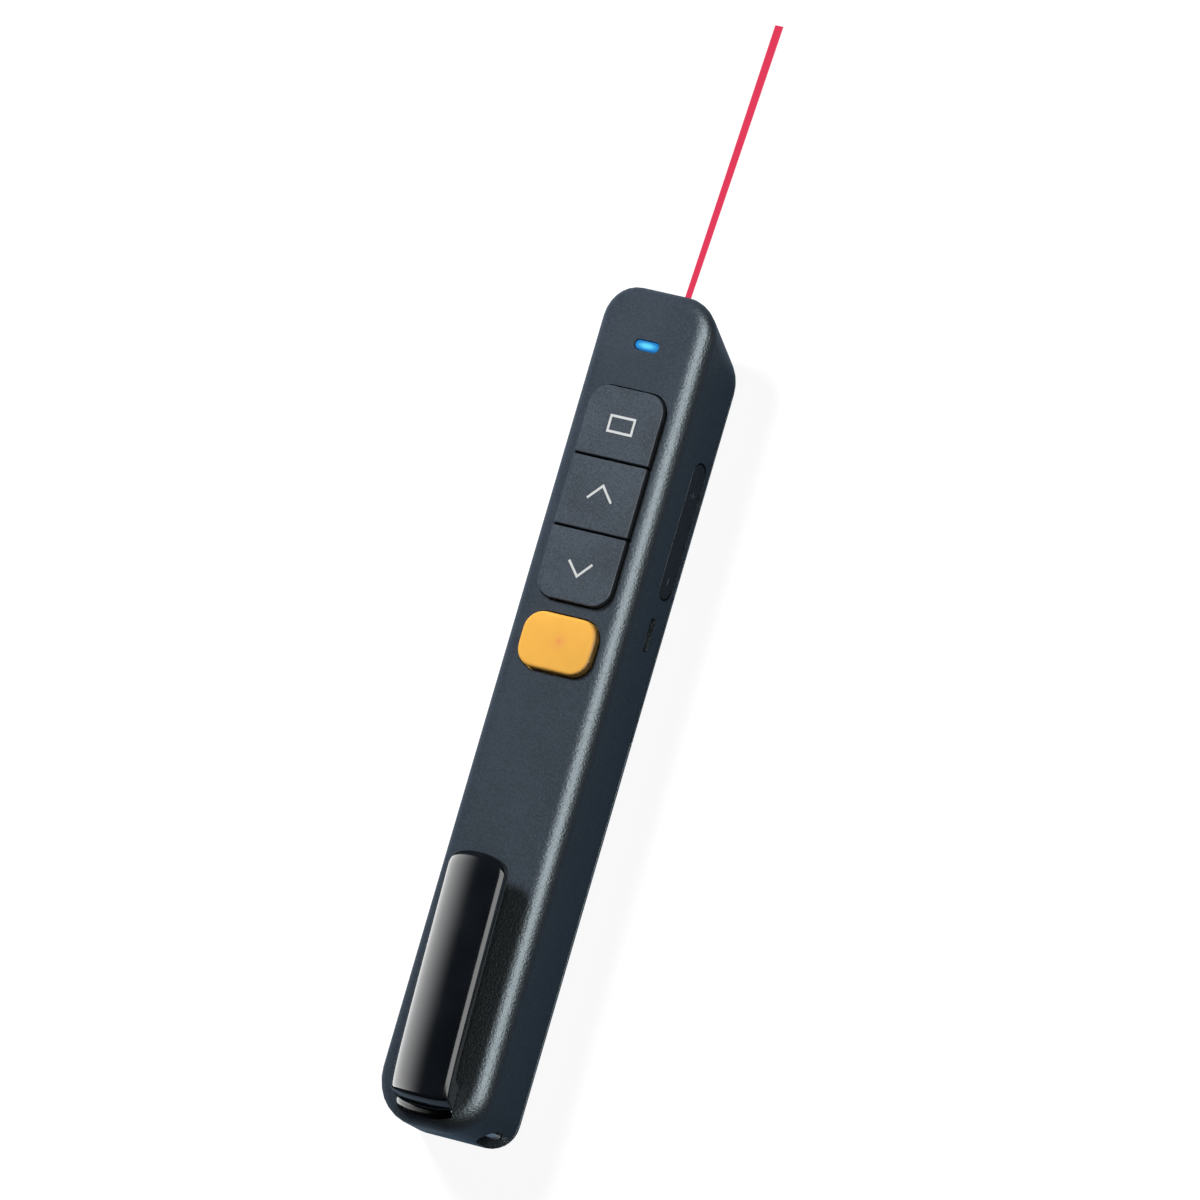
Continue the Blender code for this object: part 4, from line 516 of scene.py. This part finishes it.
@dataclass(frozen=True)
class Metal(Finish):
    """Plated or turned metal with fine marks drawn along one direction."""

    roughness: float  # Its least roughness
    drawn: Triple = (1, 0.05, 1)  # How much the marks are squeezed along each axis; small is long
    tarnish: float = 0.2  # Share of darker patches

    def dress(self, bench: Bench) -> None:
        """Drawn noise sets the roughness and a bump of 2 microns, and slow noise darkens patches."""
        marks = bench.noise(0.12, 3, bench.scaled(self.drawn))
        patches = bench.noise(1.6, 4).between(0.45, 0.8)
        bench.feed(
            Base_Color=bench.mixed(patches * self.tarnish, shade(self.colour), shade(self.colour, 0.45)),
            Roughness=self.roughness + marks * 0.15,
            Normal=bench.bump(marks, 0.002),
            Metallic=1.0,
        )


@dataclass(frozen=True)
class Glass(Finish):
    """Clear or tinted optical plastic with the faintest haze."""

    roughness: float = 0.03  # Its least roughness
    clear: float = 0.85  # How much light it lets through
    index: float = 1.49  # Its index of refraction

    def dress(self, bench: Bench) -> None:
        """Mostly transmission, with haze from slow noise."""
        haze = bench.noise(0.8, 3).between(0.4, 0.8)
        bench.feed(
            Base_Color=bench.mixed(haze, shade(self.colour), shade(self.colour, 0.85)),
            Roughness=self.roughness + haze * 0.06,
            Transmission_Weight=self.clear,
            IOR=self.index,
        )


@dataclass(frozen=True)
class Circuit(Finish):
    """Circuit board: green lacquer over a web of paler copper tracks."""

    name: str = "board_green"
    colour: Triple = (0.012, 0.11, 0.045)
    track: Triple = (0.03, 0.21, 0.08)  # The colour over the tracks
    pitch: float = 1.9  # About how far apart the tracks are

    def dress(self, bench: Bench) -> None:
        """Tracks where the distance to a cell's edge is small, raised by 20 microns."""
        cells = {"Vector": bench.place, "Scale": 1 / (self.pitch * MM)}
        edge = bench.add("ShaderNodeTexVoronoi", cells, "Distance", feature="DISTANCE_TO_EDGE")
        track = edge.between(0.1, 0.05)
        bench.feed(
            Base_Color=bench.mixed(track, shade(self.colour), shade(self.track)),
            Roughness=0.35 + bench.noise(0.4) * 0.15,
            Normal=bench.bump(track, 0.02),
        )


@dataclass(frozen=True)
class CellWrap(Finish):
    """The battery cell: a printed film of two plain colours round its side, and bare plated ends."""

    name: str = "cell_wrap"
    colour: Triple = (0.03, 0.04, 0.055)
    pale: Triple = (0.62, 0.4, 0.12)  # The colour of the band next to the raised end
    metal: Triple = (0.68, 0.67, 0.63)  # The colour of the ends
    low: float = -45.9  # Where the film starts along the cell
    high: float = -2.9  # Where it stops
    band: float = 11.0  # Length of the pale band

    def dress(self, bench: Bench) -> None:
        """Bands by smooth steps of Y, metal beyond the film's two ends."""
        along = bench.axis("Y")
        band = along.between(self.high - self.band - 0.05, self.high - self.band)
        bare = along.between(self.low, self.low - 0.1) + along.between(self.high, self.high + 0.1)
        film = bench.mixed(band, shade(self.colour), shade(self.pale))
        scuff = bench.noise(0.6, 4)
        bench.feed(
            Base_Color=bench.mixed(bare, film, shade(self.metal)),
            Metallic=bare,
            Roughness=0.28 + scuff * 0.14,
            Normal=bench.bump(scuff, 0.004),
        )


BODY_TONE, KEY_TONE = (0.037, 0.048, 0.064), (0.057, 0.071, 0.089)
FINISHES = {
    finish.name: finish
    for finish in (
        Moulded("body_plastic", BODY_TONE, 0.42, 0.4, 0.09, wear=0.2, tint=(0.85, 0.98, 1.0)),
        Moulded("key_plastic", KEY_TONE, 0.52, 0.32, 0.07, specular=0.2, wear=0.3),
        Moulded("black_plastic", (0.014, 0.015, 0.017), 0.45, depth=0.008),
        Moulded("red_plastic", (0.42, 0.02, 0.02), 0.4, depth=0.006),
        Moulded("lamp_white", (0.8, 0.8, 0.72), 0.35, depth=0.004),
        Moulded("white_ink", (0.62, 0.64, 0.64), 0.6, 0.1, 0.004, wear=0.06),
        Polished("gloss_black", (0.007, 0.009, 0.012), 0.1),
        Orange(),
        Lit(),
        Glass("clear_glass", (0.75, 0.16, 0.2)),
        Metal("steel", (0.56, 0.57, 0.58), 0.22),
        Metal("nickel", (0.66, 0.63, 0.56), 0.24, drawn=(0.2, 1, 0.2)),
        Metal("brass", (0.74, 0.55, 0.26), 0.22, drawn=(0.3, 1.2, 0.3)),
        Circuit(),
        CellWrap(),
    )
}


@cache
def finished(name: str) -> bpy.types.Material:
    """The material of a finish, made once."""
    return FINISHES[name].make()


# The presenter's sub-assemblies


@dataclass(frozen=True)
class Body:
    """The casing's outer sizes, which the keys and the clip follow."""

    roof: float = 15.5  # Level of the flat top face
    half_width: float = 10.8  # Half the width
    rear: float = -72.25  # Where the rear end is
    corner: float = 8.6  # Radius of the rear corners seen from above
    shoulder: float = 3.2  # Radius of the round edge between the top face and the rear end


BODY = Body()


class SubAssembly:
    """What every sub-assembly shares: the way that a new piece joins the frame."""

    def place(self, name: str, skin: Skin, finish: str, body: str, slot: str, stands_for: str = "") -> None:
        """Makes a piece, lets it ride on a body and hides the solid that it stands for.

        Args:
            name: The piece's name.
            skin: Its surface.
            finish: The name of its finish.
            body: The moving body that carries it.
            slot: The record's material slot; not used.
            stands_for: The solid that it replaces, if any.
        """
        item = make_object(name, skin, finished(finish))
        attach(item, body)
        if stands_for:
            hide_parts(stands_for)
        LOG.info("%s: %d points", name, len(skin.points))


@dataclass
class Casing(SubAssembly):
    """The solids of the frame: they get softened edges and their finishes."""

    weld: float = 0.0002  # Points nearer than this become one
    flat: float = 0.5  # Faces that turn by less than this many degrees become one
    edge: float = 0.12  # Width of the softened edges
    turn: float = 32  # Edges that turn by more than this many degrees are softened

    def dress(self) -> None:
        """Gives every solid its finish, welded and softened edges and smooth faces."""
        for name, node in frame["nodes"].items():
            finish = node.data.materials[0].name.split(".")[0]
            node.data.materials.clear()
            node.data.materials.append(finished(finish))
            node.data.polygons.foreach_set("use_smooth", np.ones(len(node.data.polygons), dtype=bool))
            self.soften(node)
            LOG.info("%s: %s", name, finish)

    def soften(self, node: bpy.types.Object) -> None:
        """Welds the loose triangles, joins flat ones, rounds the edges a little and evens the shading."""
        weld = node.modifiers.new("weld", "WELD")
        weld.merge_threshold = self.weld * MM
        flat = node.modifiers.new("flat", "DECIMATE")
        flat.decimate_type = "DISSOLVE"
        flat.angle_limit = math.radians(self.flat)
        bevel = node.modifiers.new("edge", "BEVEL")
        bevel.width = self.edge * MM
        bevel.segments = 2
        bevel.limit_method = "ANGLE"
        bevel.angle_limit = math.radians(self.turn)
        bevel.use_clamp_overlap = True
        even = node.modifiers.new("even", "WEIGHTED_NORMAL")
        even.keep_sharp = True


@dataclass
class Keys(SubAssembly):
    """The three keys in one row and the laser button, with the printed signs."""

    front: float = 54.85  # The front edge of the row
    half_width: float = 7.1  # Half the keys' width
    length: float = 12.0  # Each key's length
    pitch: float = 12.4  # From one key to the next
    proud: float = 1.1  # How far the keys stand above the casing
    corner: float = 3.3  # Corner radius at the row's two ends
    joint: float = 0.25  # Corner radius where two keys meet
    edge: float = 0.22  # Radius of the keys' top edges
    crown: float = 0.1  # How much higher a key's middle is than its edge
    lip_wider: float = 0.8  # How much the lip adds on each side of a key
    lip_shorter: float = 0.2  # How much it leaves at each end
    button: Cushion = Cushion(7.05, 4.85, (3.5,) * 4, edge=0.7, crown=0.18)  # The laser button's cap
    button_lip: Pair = (7.7, 5.5)  # Half its lip's width and length
    button_y: float = 10.8  # Its middle along the body
    button_proud: float = 1.4  # How far it stands above the casing
    lip_low: float = 12.8  # Level of the lips' undersides
    lip_high: float = 13.6  # Level of their tops
    post_low: float = 12.35  # Level of the posts' feet
    post_radius: float = 1.5  # Radius of the posts over the switches
    stroke: float = 0.42  # Width of the printed lines
    ink: float = 0.015  # How high they stand on the keys

    def build(self) -> None:
        """Builds the row, the button and the signs."""
        lip = (self.half_width + self.lip_wider, self.length / 2 - self.lip_shorter)
        for k, name in enumerate(("screen_key", "up_key", "down_key")):
            middle = self.front - k * self.pitch - self.length / 2
            ahead = self.corner if k == 0 else self.joint
            astern = self.corner if k == 2 else self.joint
            radii = (ahead, ahead, astern, astern)
            cap = Cushion(self.half_width, self.length / 2, radii, self.edge, self.crown)
            skin = self.key_skin(cap, lip, middle, self.proud)
            self.place(f"{name}_cap", skin, "key_plastic", f"{name}_body", "key_plastic", name)
        name, finish = "laser_button", "orange_plastic"
        skin = self.key_skin(self.button, self.button_lip, self.button_y, self.button_proud)
        self.place(f"{name}_cap", skin, finish, f"{name}_body", finish, name)
        self.build_signs()

    def key_skin(self, cap: Cushion, lip: Pair, middle: float, proud: float) -> Skin:
        """A key's whole surface: its cap, the lip under the roof and the post over the switch.

        Args:
            cap: The cap's form.
            lip: Half the lip's width and length.
            middle: The key's middle along the body.
            proud: How far it stands above the casing.

        Returns:
            The surfaces in one.
        """
        centre = (0, middle)
        lip_outline = rounded_rectangle(*lip, (0.5,) * 4, 4)
        return (
            cap.skin(self.lip_low, BODY.roof + proud, centre)
            + upright(lip_outline, self.lip_low + 0.1, self.lip_high, centre)
            + upright(circle(self.post_radius, 24), self.post_low, self.lip_low + 0.4, centre)
        )

    def build_signs(self) -> None:
        """Prints the square and the two chevrons on the keys, from routes seen from above."""
        top = BODY.roof + self.proud
        signs = {
            "screen_key": ([[-2.08, 47.27], [2.48, 47.27], [2.48, 49.93], [-2.08, 49.93]], True),
            "up_key": ([[-2.2, 35.6], [0.15, 38.1], [2.45, 35.5]], False),
            "down_key": ([[-2.1, 24.8], [0.15, 22.4], [2.4, 24.85]], False),
        }
        for name, (route, closed) in signs.items():
            skin = ink_skin(np.array(route), self.stroke, closed, top - 0.1, top + self.ink)
            self.place(f"{name}_sign", skin, "white_ink", f"{name}_body", "key_plastic")


@dataclass
class Rocker(SubAssembly):
    """The volume rocker in the right side, with its printed plus and minus."""

    centre: Pair = (34.9, 5.2)  # Its middle along the body and its level
    bar: Cushion = Cushion(11.65, 2.1, (2.08,) * 4, edge=0.14, crown=0.05)  # Its bar, drawn lying flat
    face: float = 10.75  # Where its outer face stands across the body
    inner: float = 8.2  # Where its lip starts
    lip_face: float = 8.9  # Where the lip's outer side is
    lip: Pair = (8.0, 2.7)  # Half the lip's length and height
    pad: float = 7.5  # How far each of the two pads over the switches is from the middle
    pad_radius: float = 1.2  # Their radius
    plus: float = 6.2  # How far from the middle the plus is, towards the front
    minus: float = 8.7  # How far from the middle the minus is, towards the rear
    reach: float = 0.55  # Half the length of the printed lines
    stroke: float = 0.22  # Their width
    ink: float = 0.012  # How high they stand on the bar

    def build(self) -> None:
        """Builds the rocker and its signs, drawn upright and then laid along X."""
        y, z = self.centre
        skin = self.bar.skin(self.lip_face - 0.4, self.face, self.centre)
        lip = rounded_rectangle(*self.lip, (0.6,) * 4, 4)
        skin += upright(lip, self.inner, self.lip_face, self.centre)
        for shift in (-self.pad, self.pad):
            pad = circle(self.pad_radius, 20)
            skin += upright(pad, self.inner - 0.6, self.inner + 0.4, (y + shift, z))
        self.put("bar", skin, "key_plastic", "volume_rocker")
        signs = {
            "plus_across": (y + self.plus, self.reach, 0),
            "plus_up": (y + self.plus, 0, self.reach),
            "minus": (y - self.minus, self.reach, 0),
        }
        for name, (at, along, up) in signs.items():
            route = np.array([[at - along, z - up], [at + along, z + up]])
            low, high = self.face - 0.1, self.face + self.ink
            self.put(name, ink_skin(route, self.stroke, False, low, high), "white_ink")

    def put(self, name: str, skin: Skin, finish: str, stands_for: str = "") -> None:
        """Lays a surface along X and places it on the rocker's body."""
        skin = skin.laid_along_x()
        self.place(f"volume_rocker_{name}", skin, finish, "volume_rocker_body", "key_plastic", stands_for)


@dataclass(frozen=True)
class Slope:
    """A straight line seen from the side: the level, plus the rise times the way from where it is measured."""

    at: float  # Where along the body the level is measured
    level: float  # The level there, above the casing's top face
    rise: float  # The rise towards the front

    def levels(self, y: np.ndarray) -> np.ndarray:
        """The levels at places along the body."""
        return self.level + self.rise * (y - self.at)


@dataclass
class Clip(SubAssembly):
    """The glossy pocket clip: a crowned arm over the roof, its heel, and its foot fitted to the rear edge."""

    rear: float = -70.75  # The clip's rear end
    heel_front: float = -66  # Where the heel goes over into the arm
    tip: float = -26.35  # The front end of the arm
    width: float = 11.0  # Its full width
    thickness: float = 1.7  # Its thickness along the arm
    arm: Slope = Slope(-29.75, 6.119, 0.0533)  # The arm's slope
    droop: float = 0.64  # How far the arm falls below its slope at the heel
    droop_at: float = -67.3  # Where that is measured
    droop_length: float = 5  # Over which length it fades by e
    heel: Slope = Slope(-67.95, 3.35, 2.5)  # The heel's slope
    lip: float = 0.48  # How far the lip's upper side lies above the casing's round rear edge
    heel_turn: float = 0.5  # Roundness of the turn between the arm and the heel
    lip_turn: float = 0.16  # Roundness of the turn between the heel and the lip
    crown: float = 0.7  # How much higher its middle is than its edges
    crown_start: float = 3.4  # How far ahead of the rear end the crown is full
    edge: float = 0.38  # Radius of its top edges
    bow: float = 1.1  # How far the rear end's sides lie ahead of its middle
    bow_length: float = 9  # How far ahead of the rear end that fades out
    tip_depth: float = 3.4  # Length of the rounded tip
    tip_power: float = 2.6  # Exponent of the tip's squared ellipse in plan
    foot: float = 5.6  # Length of the foot that is joined to the casing
    fillet: float = 2.0  # Radius of the turn between the foot and the arm's underside
    tongue: float = -67.25  # Where the tongue that goes down into the casing stands
    tongue_half: Pair = (3.2, 0.9)  # Half its width and length
    tongue_low: float = 12.3  # Level of its foot
    barb_half: Pair = (2.7, 1.5)  # Half the width and length of the barb on it
    barb_low: float = 12.4  # Level of the barb's underside
    barb_high: float = 13.1  # Level of its top
    gap: float = 0.3  # Clearance between the foot and the casing
    steps: int = 48  # Steps across the clip

    def build(self) -> None:
        """Builds the clip with its barbed tongue.

        Each ring runs across the underside and back over the top, at x = half the width times a share, which is
        an angle's cosine. The top is crowned by 1 - share squared, less a rounding that sets in at the edges.
        """
        y, high = self.profile()
        half_width = self.half_width(y)
        share = np.cos(np.linspace(0, np.pi, self.steps + 1))[None, :]
        x = half_width[:, None] * share
        full = np.clip((y - self.rear) / self.crown_start, 0.35, 1)
        crown = self.crown * (1 - share**2) * (full * half_width / (self.width / 2))[:, None]
        rounding = self.edge * (1 - np.sqrt(np.clip(1 - np.abs(share) ** 10, 0, 1)))
        upper = high[:, None] + crown - rounding
        fading = np.clip(1 - (y - self.rear) / self.bow_length, 0, 1) ** 2
        along = y[:, None] + self.bow * fading[:, None] * np.abs(share) ** 2.6
        lower = np.maximum(self.underside(y, high)[:, None], self.roof(x, along) + self.gap)
        lower = np.minimum(lower, upper - 0.05)
        below, above = np.stack((x, along, lower), axis=-1), np.stack((x, along, upper), axis=-1)
        skin = ring_skin(np.concatenate((below, above[:, ::-1]), axis=1))
        tongue, barb = (rounded_rectangle(*half, (0.1,) * 4, 3) for half in (self.tongue_half, self.barb_half))
        skin += upright(tongue, self.tongue_low, BODY.roof + self.thickness, (0, self.tongue))
        skin += upright(barb, self.barb_low, self.barb_high, (0, self.tongue))
        self.place("pocket_clip_arm", skin, "gloss_black", "clip_body", "gloss_black", "pocket_clip")

    def profile(self) -> tuple[np.ndarray, np.ndarray]:
        """The clip's upper side edge seen from the side, from the rear end to the tip.

        The arm is a slope less a droop that grows by e towards the heel, and the level is the lower one of arm
        and heel, but no lower than the lip, which lies a thin skin above the casing. `meet` rounds the turns.
        Over the tip the points bunch up by the sine of an angle.

        Returns:
            The places along the body and the levels.
        """
        angle = np.linspace(0, np.pi / 2 * 0.985, 26)
        tip = self.tip - self.tip_depth * (1 - np.sin(angle) ** (2 / self.tip_power))
        behind = np.linspace(self.rear, self.heel_front, 56)[:-1]
        y = np.concatenate((behind, np.linspace(self.heel_front, tip[0], 60)[:-1], tip))
        arm = self.arm.levels(y) - self.droop * np.exp(-(y - self.droop_at) / self.droop_length)
        lip = self.roof(np.zeros(len(y)), y) - BODY.roof + self.lip
        rise = self.meet(arm, self.heel.levels(y), -self.heel_turn)
        return y, BODY.roof + self.meet(rise, lip, self.lip_turn)

    @staticmethod
    def meet(first: np.ndarray, second: np.ndarray, turn: float) -> np.ndarray:
        """The lower of two levels, or the higher where the turn is positive, with a rounded turn between them.

        Half of their sum, less or plus half the root of their difference squared and the turn squared.
        """
        return (first + second + math.copysign(1, turn) * np.sqrt((first - second) ** 2 + turn**2)) / 2

    def half_width(self, y: np.ndarray) -> np.ndarray:
        """Half the width: full along the arm, then (1 - s^p)^(1/p) of it over the tip, s from 0 to 1."""
        share = np.clip((y - self.tip + self.tip_depth) / self.tip_depth, 0, 1)
        return self.width / 2 * (1 - share**self.tip_power) ** (1 / self.tip_power)

    def underside(self, y: np.ndarray, high: np.ndarray) -> np.ndarray:
        """The underside: a thickness below the edge, drawn down to the casing over the foot by a fillet."""
        reach = np.clip((self.rear + self.foot + self.fillet - y) / self.fillet, 0, 1)
        low = high - self.thickness
        return low - (low - (BODY.roof - BODY.shoulder)) * (1 - np.sqrt(1 - reach**2))

    def roof(self, x: np.ndarray, y: np.ndarray) -> np.ndarray:
        """The casing's top at a place: flat, then round by a quarter circle near the rear edge.

        The rear edge is a straight end between two round corners, so the distance to it is measured from the
        corner's centre where x lies beyond that.
        """
        radius, corner = BODY.shoulder + self.gap, BODY.corner + self.gap
        end = BODY.rear - self.gap
        beyond = np.clip(np.abs(x) - (BODY.half_width + self.gap - corner), 0, None)
        inset = corner - np.hypot(beyond, np.clip(end + corner - y, 0, None))
        fall = np.clip(radius - inset, 0, radius)
        return BODY.roof + self.gap - radius + np.sqrt(radius**2 - fall**2) - self.gap


# Light, floor and camera


class Reach(Enum):
    """Which pieces a lamp lights: all, the glossy clip alone, all but the clip, or the underside's pieces."""

    ALL = ((), "")
    CLIP = (("pocket_clip_arm",), "INCLUDE")
    REST = (("pocket_clip_arm",), "EXCLUDE")
    UNDERSIDE = (
        ("lower_shell", "battery_cover", "case_screw_front_left", "case_screw_front_right", "case_screw_rear"),
        "INCLUDE",
    )


@dataclass
class Lamp:
    """A soft rectangular lamp."""

    name: str
    place: Triple  # Where it stands, in metres
    aim: Triple  # What it points at
    size: Pair  # Its width and height
    power: float  # Its power in watts
    diffuse: bool = True  # Whether it lights surfaces as a whole
    glossy: bool = True  # Whether it shows in reflections
    graded: bool = False  # Whether it dims towards its upper side
    reach: Reach = Reach.ALL  # Which pieces it lights

    def make(self) -> None:
        """Adds the lamp, turned to its aim, unseen by the camera."""
        data = bpy.data.lights.new(self.name, "AREA")
        data.shape = "RECTANGLE"
        data.size, data.size_y = self.size
        data.energy = self.power
        item = bpy.data.objects.new(self.name, data)
        item.location = self.place
        item.rotation_euler = (Vector(self.aim) - Vector(self.place)).to_track_quat("-Z", "Y").to_euler()
        item.visible_camera = False
        item.visible_diffuse = self.diffuse
        item.visible_glossy = self.glossy
        bpy.context.scene.collection.objects.link(item)
        if self.graded:
            self.grade(data)
        pieces, state = self.reach.value
        if pieces:
            linked = bpy.data.collections.new(f"{self.name}_pieces")
            for number, piece in enumerate(pieces):
                linked.objects.link(bpy.data.objects[piece])
                linked.collection_objects[number].light_linking.link_state = state
            item.light_linking.receiver_collection = linked

    @staticmethod
    def grade(data: bpy.types.Light) -> None:
        """Dims the lamp from its lower side, v = 0, to the upper, v = 1, by (1 - v v) to the power of 2.4."""
        bench = Bench(data, "Emission")
        v = bench.part(bench.add("ShaderNodeNewGeometry", output="Parametric"), "Y")
        bench.feed(Strength=(1 - v * v) ** 2.4)


@dataclass
class Studio:
    """The pale floor with the laser's beam of light across it, the soft lamps and the camera."""

    frame_width: float = 199.3 * MM  # Width of the picture at the object, in metres
    distance: float = 2.4  # From the camera to what it looks at
    look_at: Triple = (0.9 * MM, 20.4 * MM, 8 * MM)  # The point in the middle of the picture
    back: Triple = (0.479, -0.095, 0.873)  # Direction from the object to the camera
    picture_up: Triple = (-0.2025, 0.9557, 0.2151)  # The picture's upward direction
    sensor: float = 36  # The sensor's width, in the units of the lens
    paper: float = 0.16  # The floor's own grey
    glow: float = 0.93  # How brightly the camera sees the floor
    mirrored: float = 0.33  # Which share of that mirrors see
    mirror_tint: Triple = (0.45, 0.69, 1)  # The colour in which they see it
    beam_tone: Triple = (0.8, 0.05, 0.115)  # The colour of the laser's light on the floor
    horizon: float = 0.051  # What mirrors see of the world near the horizon
    zenith: float = 0.0051  # What they see of it higher up
    ambient: float = 0.0153  # The world's level for all but the camera and mirrors
    floor_side: float = 6000  # Half the floor's width, in millimetres

    def build(self) -> None:
        """Builds the camera, the floor, the world and the lamps."""
        self.make_camera()
        self.make_floor()
        self.make_world()
        for lamp in self.lamps():
            lamp.make()
        bpy.context.scene.view_settings.view_transform = "Standard"

    def make_camera(self) -> None:
        """A long lens at the photograph's angle: the sensor times the distance over the picture's width."""
        back = Vector(self.back).normalized()
        up = Vector(self.picture_up)
        up = (up - back * up.dot(back)).normalized()
        right = up.cross(back)
        data = bpy.data.cameras.new("camera")
        data.sensor_width = self.sensor
        data.lens = self.sensor * self.distance / self.frame_width
        data.clip_start, data.clip_end = 0.01, 20
        item = bpy.data.objects.new("camera", data)
        turn = Matrix((right, up, back)).transposed().to_4x4()
        item.matrix_world = Matrix.Translation(Vector(self.look_at) + back * self.distance) @ turn
        bpy.context.scene.collection.objects.link(item)
        bpy.context.scene.camera = item

    def make_floor(self) -> None:
        """A wide pale floor: its own pale grey takes the shadow, and what the camera and mirrors see is lifted.

        It is clear from below, for the camera and for the lamp that shows the underside.
        """
        bench = Bench(bpy.data.materials.new("floor_paper"))
        camera = bench.ray("Camera")
        mirror = bench.ray("Glossy") + bench.ray("Transmission")
        behind = bench.add("ShaderNodeNewGeometry", output="Backfacing")
        upper_face = bench.axis("Z").between(-6, -5)
        beam = self.beam(bench) * camera
        white, black = (1, 1, 1), (0, 0, 0, 1)
        paper = bench.mixed(bench.noise(3, 4), shade(white, self.paper), shade(white, self.paper + 0.005))
        sheen = bench.mixed(mirror, shade(white), shade(self.mirror_tint))
        # Under the casing the floor's glow is taken away: a painted contact shadow.
        lift = (camera + mirror * self.mirrored) * (1 - self.painted_contact_shadow(bench))
        bench.feed(
            Base_Color=bench.mixed(beam, paper, (0.02, 0, 0, 1)),
            Emission_Color=bench.mixed(beam, bench.mixed(lift, black, sheen), shade(self.beam_tone)),
            Emission_Strength=self.glow,
            Alpha=upper_face * (1 - behind) * (1 - bench.ray("Shadow")),
            Roughness=1.0,
            Specular_IOR_Level=0.0,
        )
        outline = np.array([[-1, -1], [1, -1], [1, 1], [-1, 1]]) * self.floor_side
        floor = make_object("floor", upright(outline, -10, -0.02), bench.owner)

    @staticmethod
    def painted_contact_shadow(bench: Bench) -> Wire:
        """A painted contact shadow: where the casing stands on the floor and keeps all light away, 1 well
        within its footprint, else 0.

        The footprint is 18.4 to 19.2 mm wide, by the square of x, and a little wider at the seam at y = -0.9.
        """
        x, y = bench.axis("X"), bench.axis("Y")
        seam = ((y + 0.9) * (y + 0.9)).between(0.6, 0.3)
        return (x * x - seam * 10).between(92, 85) * y.between(-60, -58) * y.between(54, 52)

    @staticmethod
    def beam(bench: Bench) -> Wire:
        """Where the laser's light lies on the floor: 1 within a widening strip about 1.4 mm across, else 0.

        Ahead of the nose, at y = 73.97 and x = -3.56, the strip's middle leans by 2.55 degrees towards +X, and
        its half width grows from 0.6 mm by 0.0045 of the way. What counts is the square of the distance from
        the middle, as a share of the half width, between the strip's two ends.
        """
        x, y = bench.axis("X"), bench.axis("Y")
        ahead = y - 73.97
        middle = ahead * math.tan(math.radians(2.55)) - 3.56
        half_width = ahead * 0.0045 + 0.6
        across = (x - middle) / half_width
        return (across * across).between(1.25, 0.75) * y.between(66, 66.1) * y.between(122.3, 122.2)

    def make_world(self) -> None:
        """White for the camera; for mirrors dim, less so at the horizon; for the rest low, from above alone."""
        world = bpy.data.worlds.new("studio")
        bpy.context.scene.world = world
        bench = Bench(world, "Background")
        height = bench.part(bench.add("ShaderNodeTexCoord", output="Generated"), "Z")
        mirror = bench.ray("Glossy").larger(bench.ray("Transmission"))
        fade = height.ramp(0.03, 0.3, self.horizon, self.zenith)
        above = height.ramp(-0.01, 0.0, 0.0, self.ambient)
        seen = mirror.choose(above, fade)
        bench.feed(Color=(1, 1, 1, 1), Strength=bench.ray("Camera").choose(seen, 1.0))

    @staticmethod
    def lamps() -> list[Lamp]:
        """A lamp from the front left, one from below, and cards for reflections on the body and the clip."""
        below = {"glossy": False, "reach": Reach.UNDERSIDE}
        body, clip = {"diffuse": False, "reach": Reach.REST}, {"diffuse": False, "reach": Reach.CLIP}
        clip_graded = {**clip, "graded": True}
        return [
            Lamp("main_light", (-0.25, 0.26, 0.4), (0, 0, 0.015), (0.12, 0.12), 3.75, glossy=False),
            Lamp("under_light", (0, 0, -0.6), (0, 0, 0), (0.8, 0.8), 5.0, **below),
            Lamp("right_card", (0.61, 0.05, 0.74), (0, 0, 0.01), (1.1, 0.77), 35, **body),
            Lamp("clip_right_card", (0.67, -0.03, 0.67), (0, -0.03, 0.01), (0.56, 1.3), 11.5, **clip),
            Lamp("clip_left_card", (-0.153, -0.07, 0.146), (0, -0.07, 0.018), (0.2, 0.21), 1.72, **clip_graded),
        ]


def main() -> None:
    """Dresses the presenter piece by piece, then sets up the studio."""
    logging.basicConfig(level=logging.INFO, format="%(message)s")
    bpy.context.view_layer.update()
    Casing().dress()
    Keys().build()
    Rocker().build()
    Clip().build()
    Studio().build()


if __name__ == "__main__":
    main()
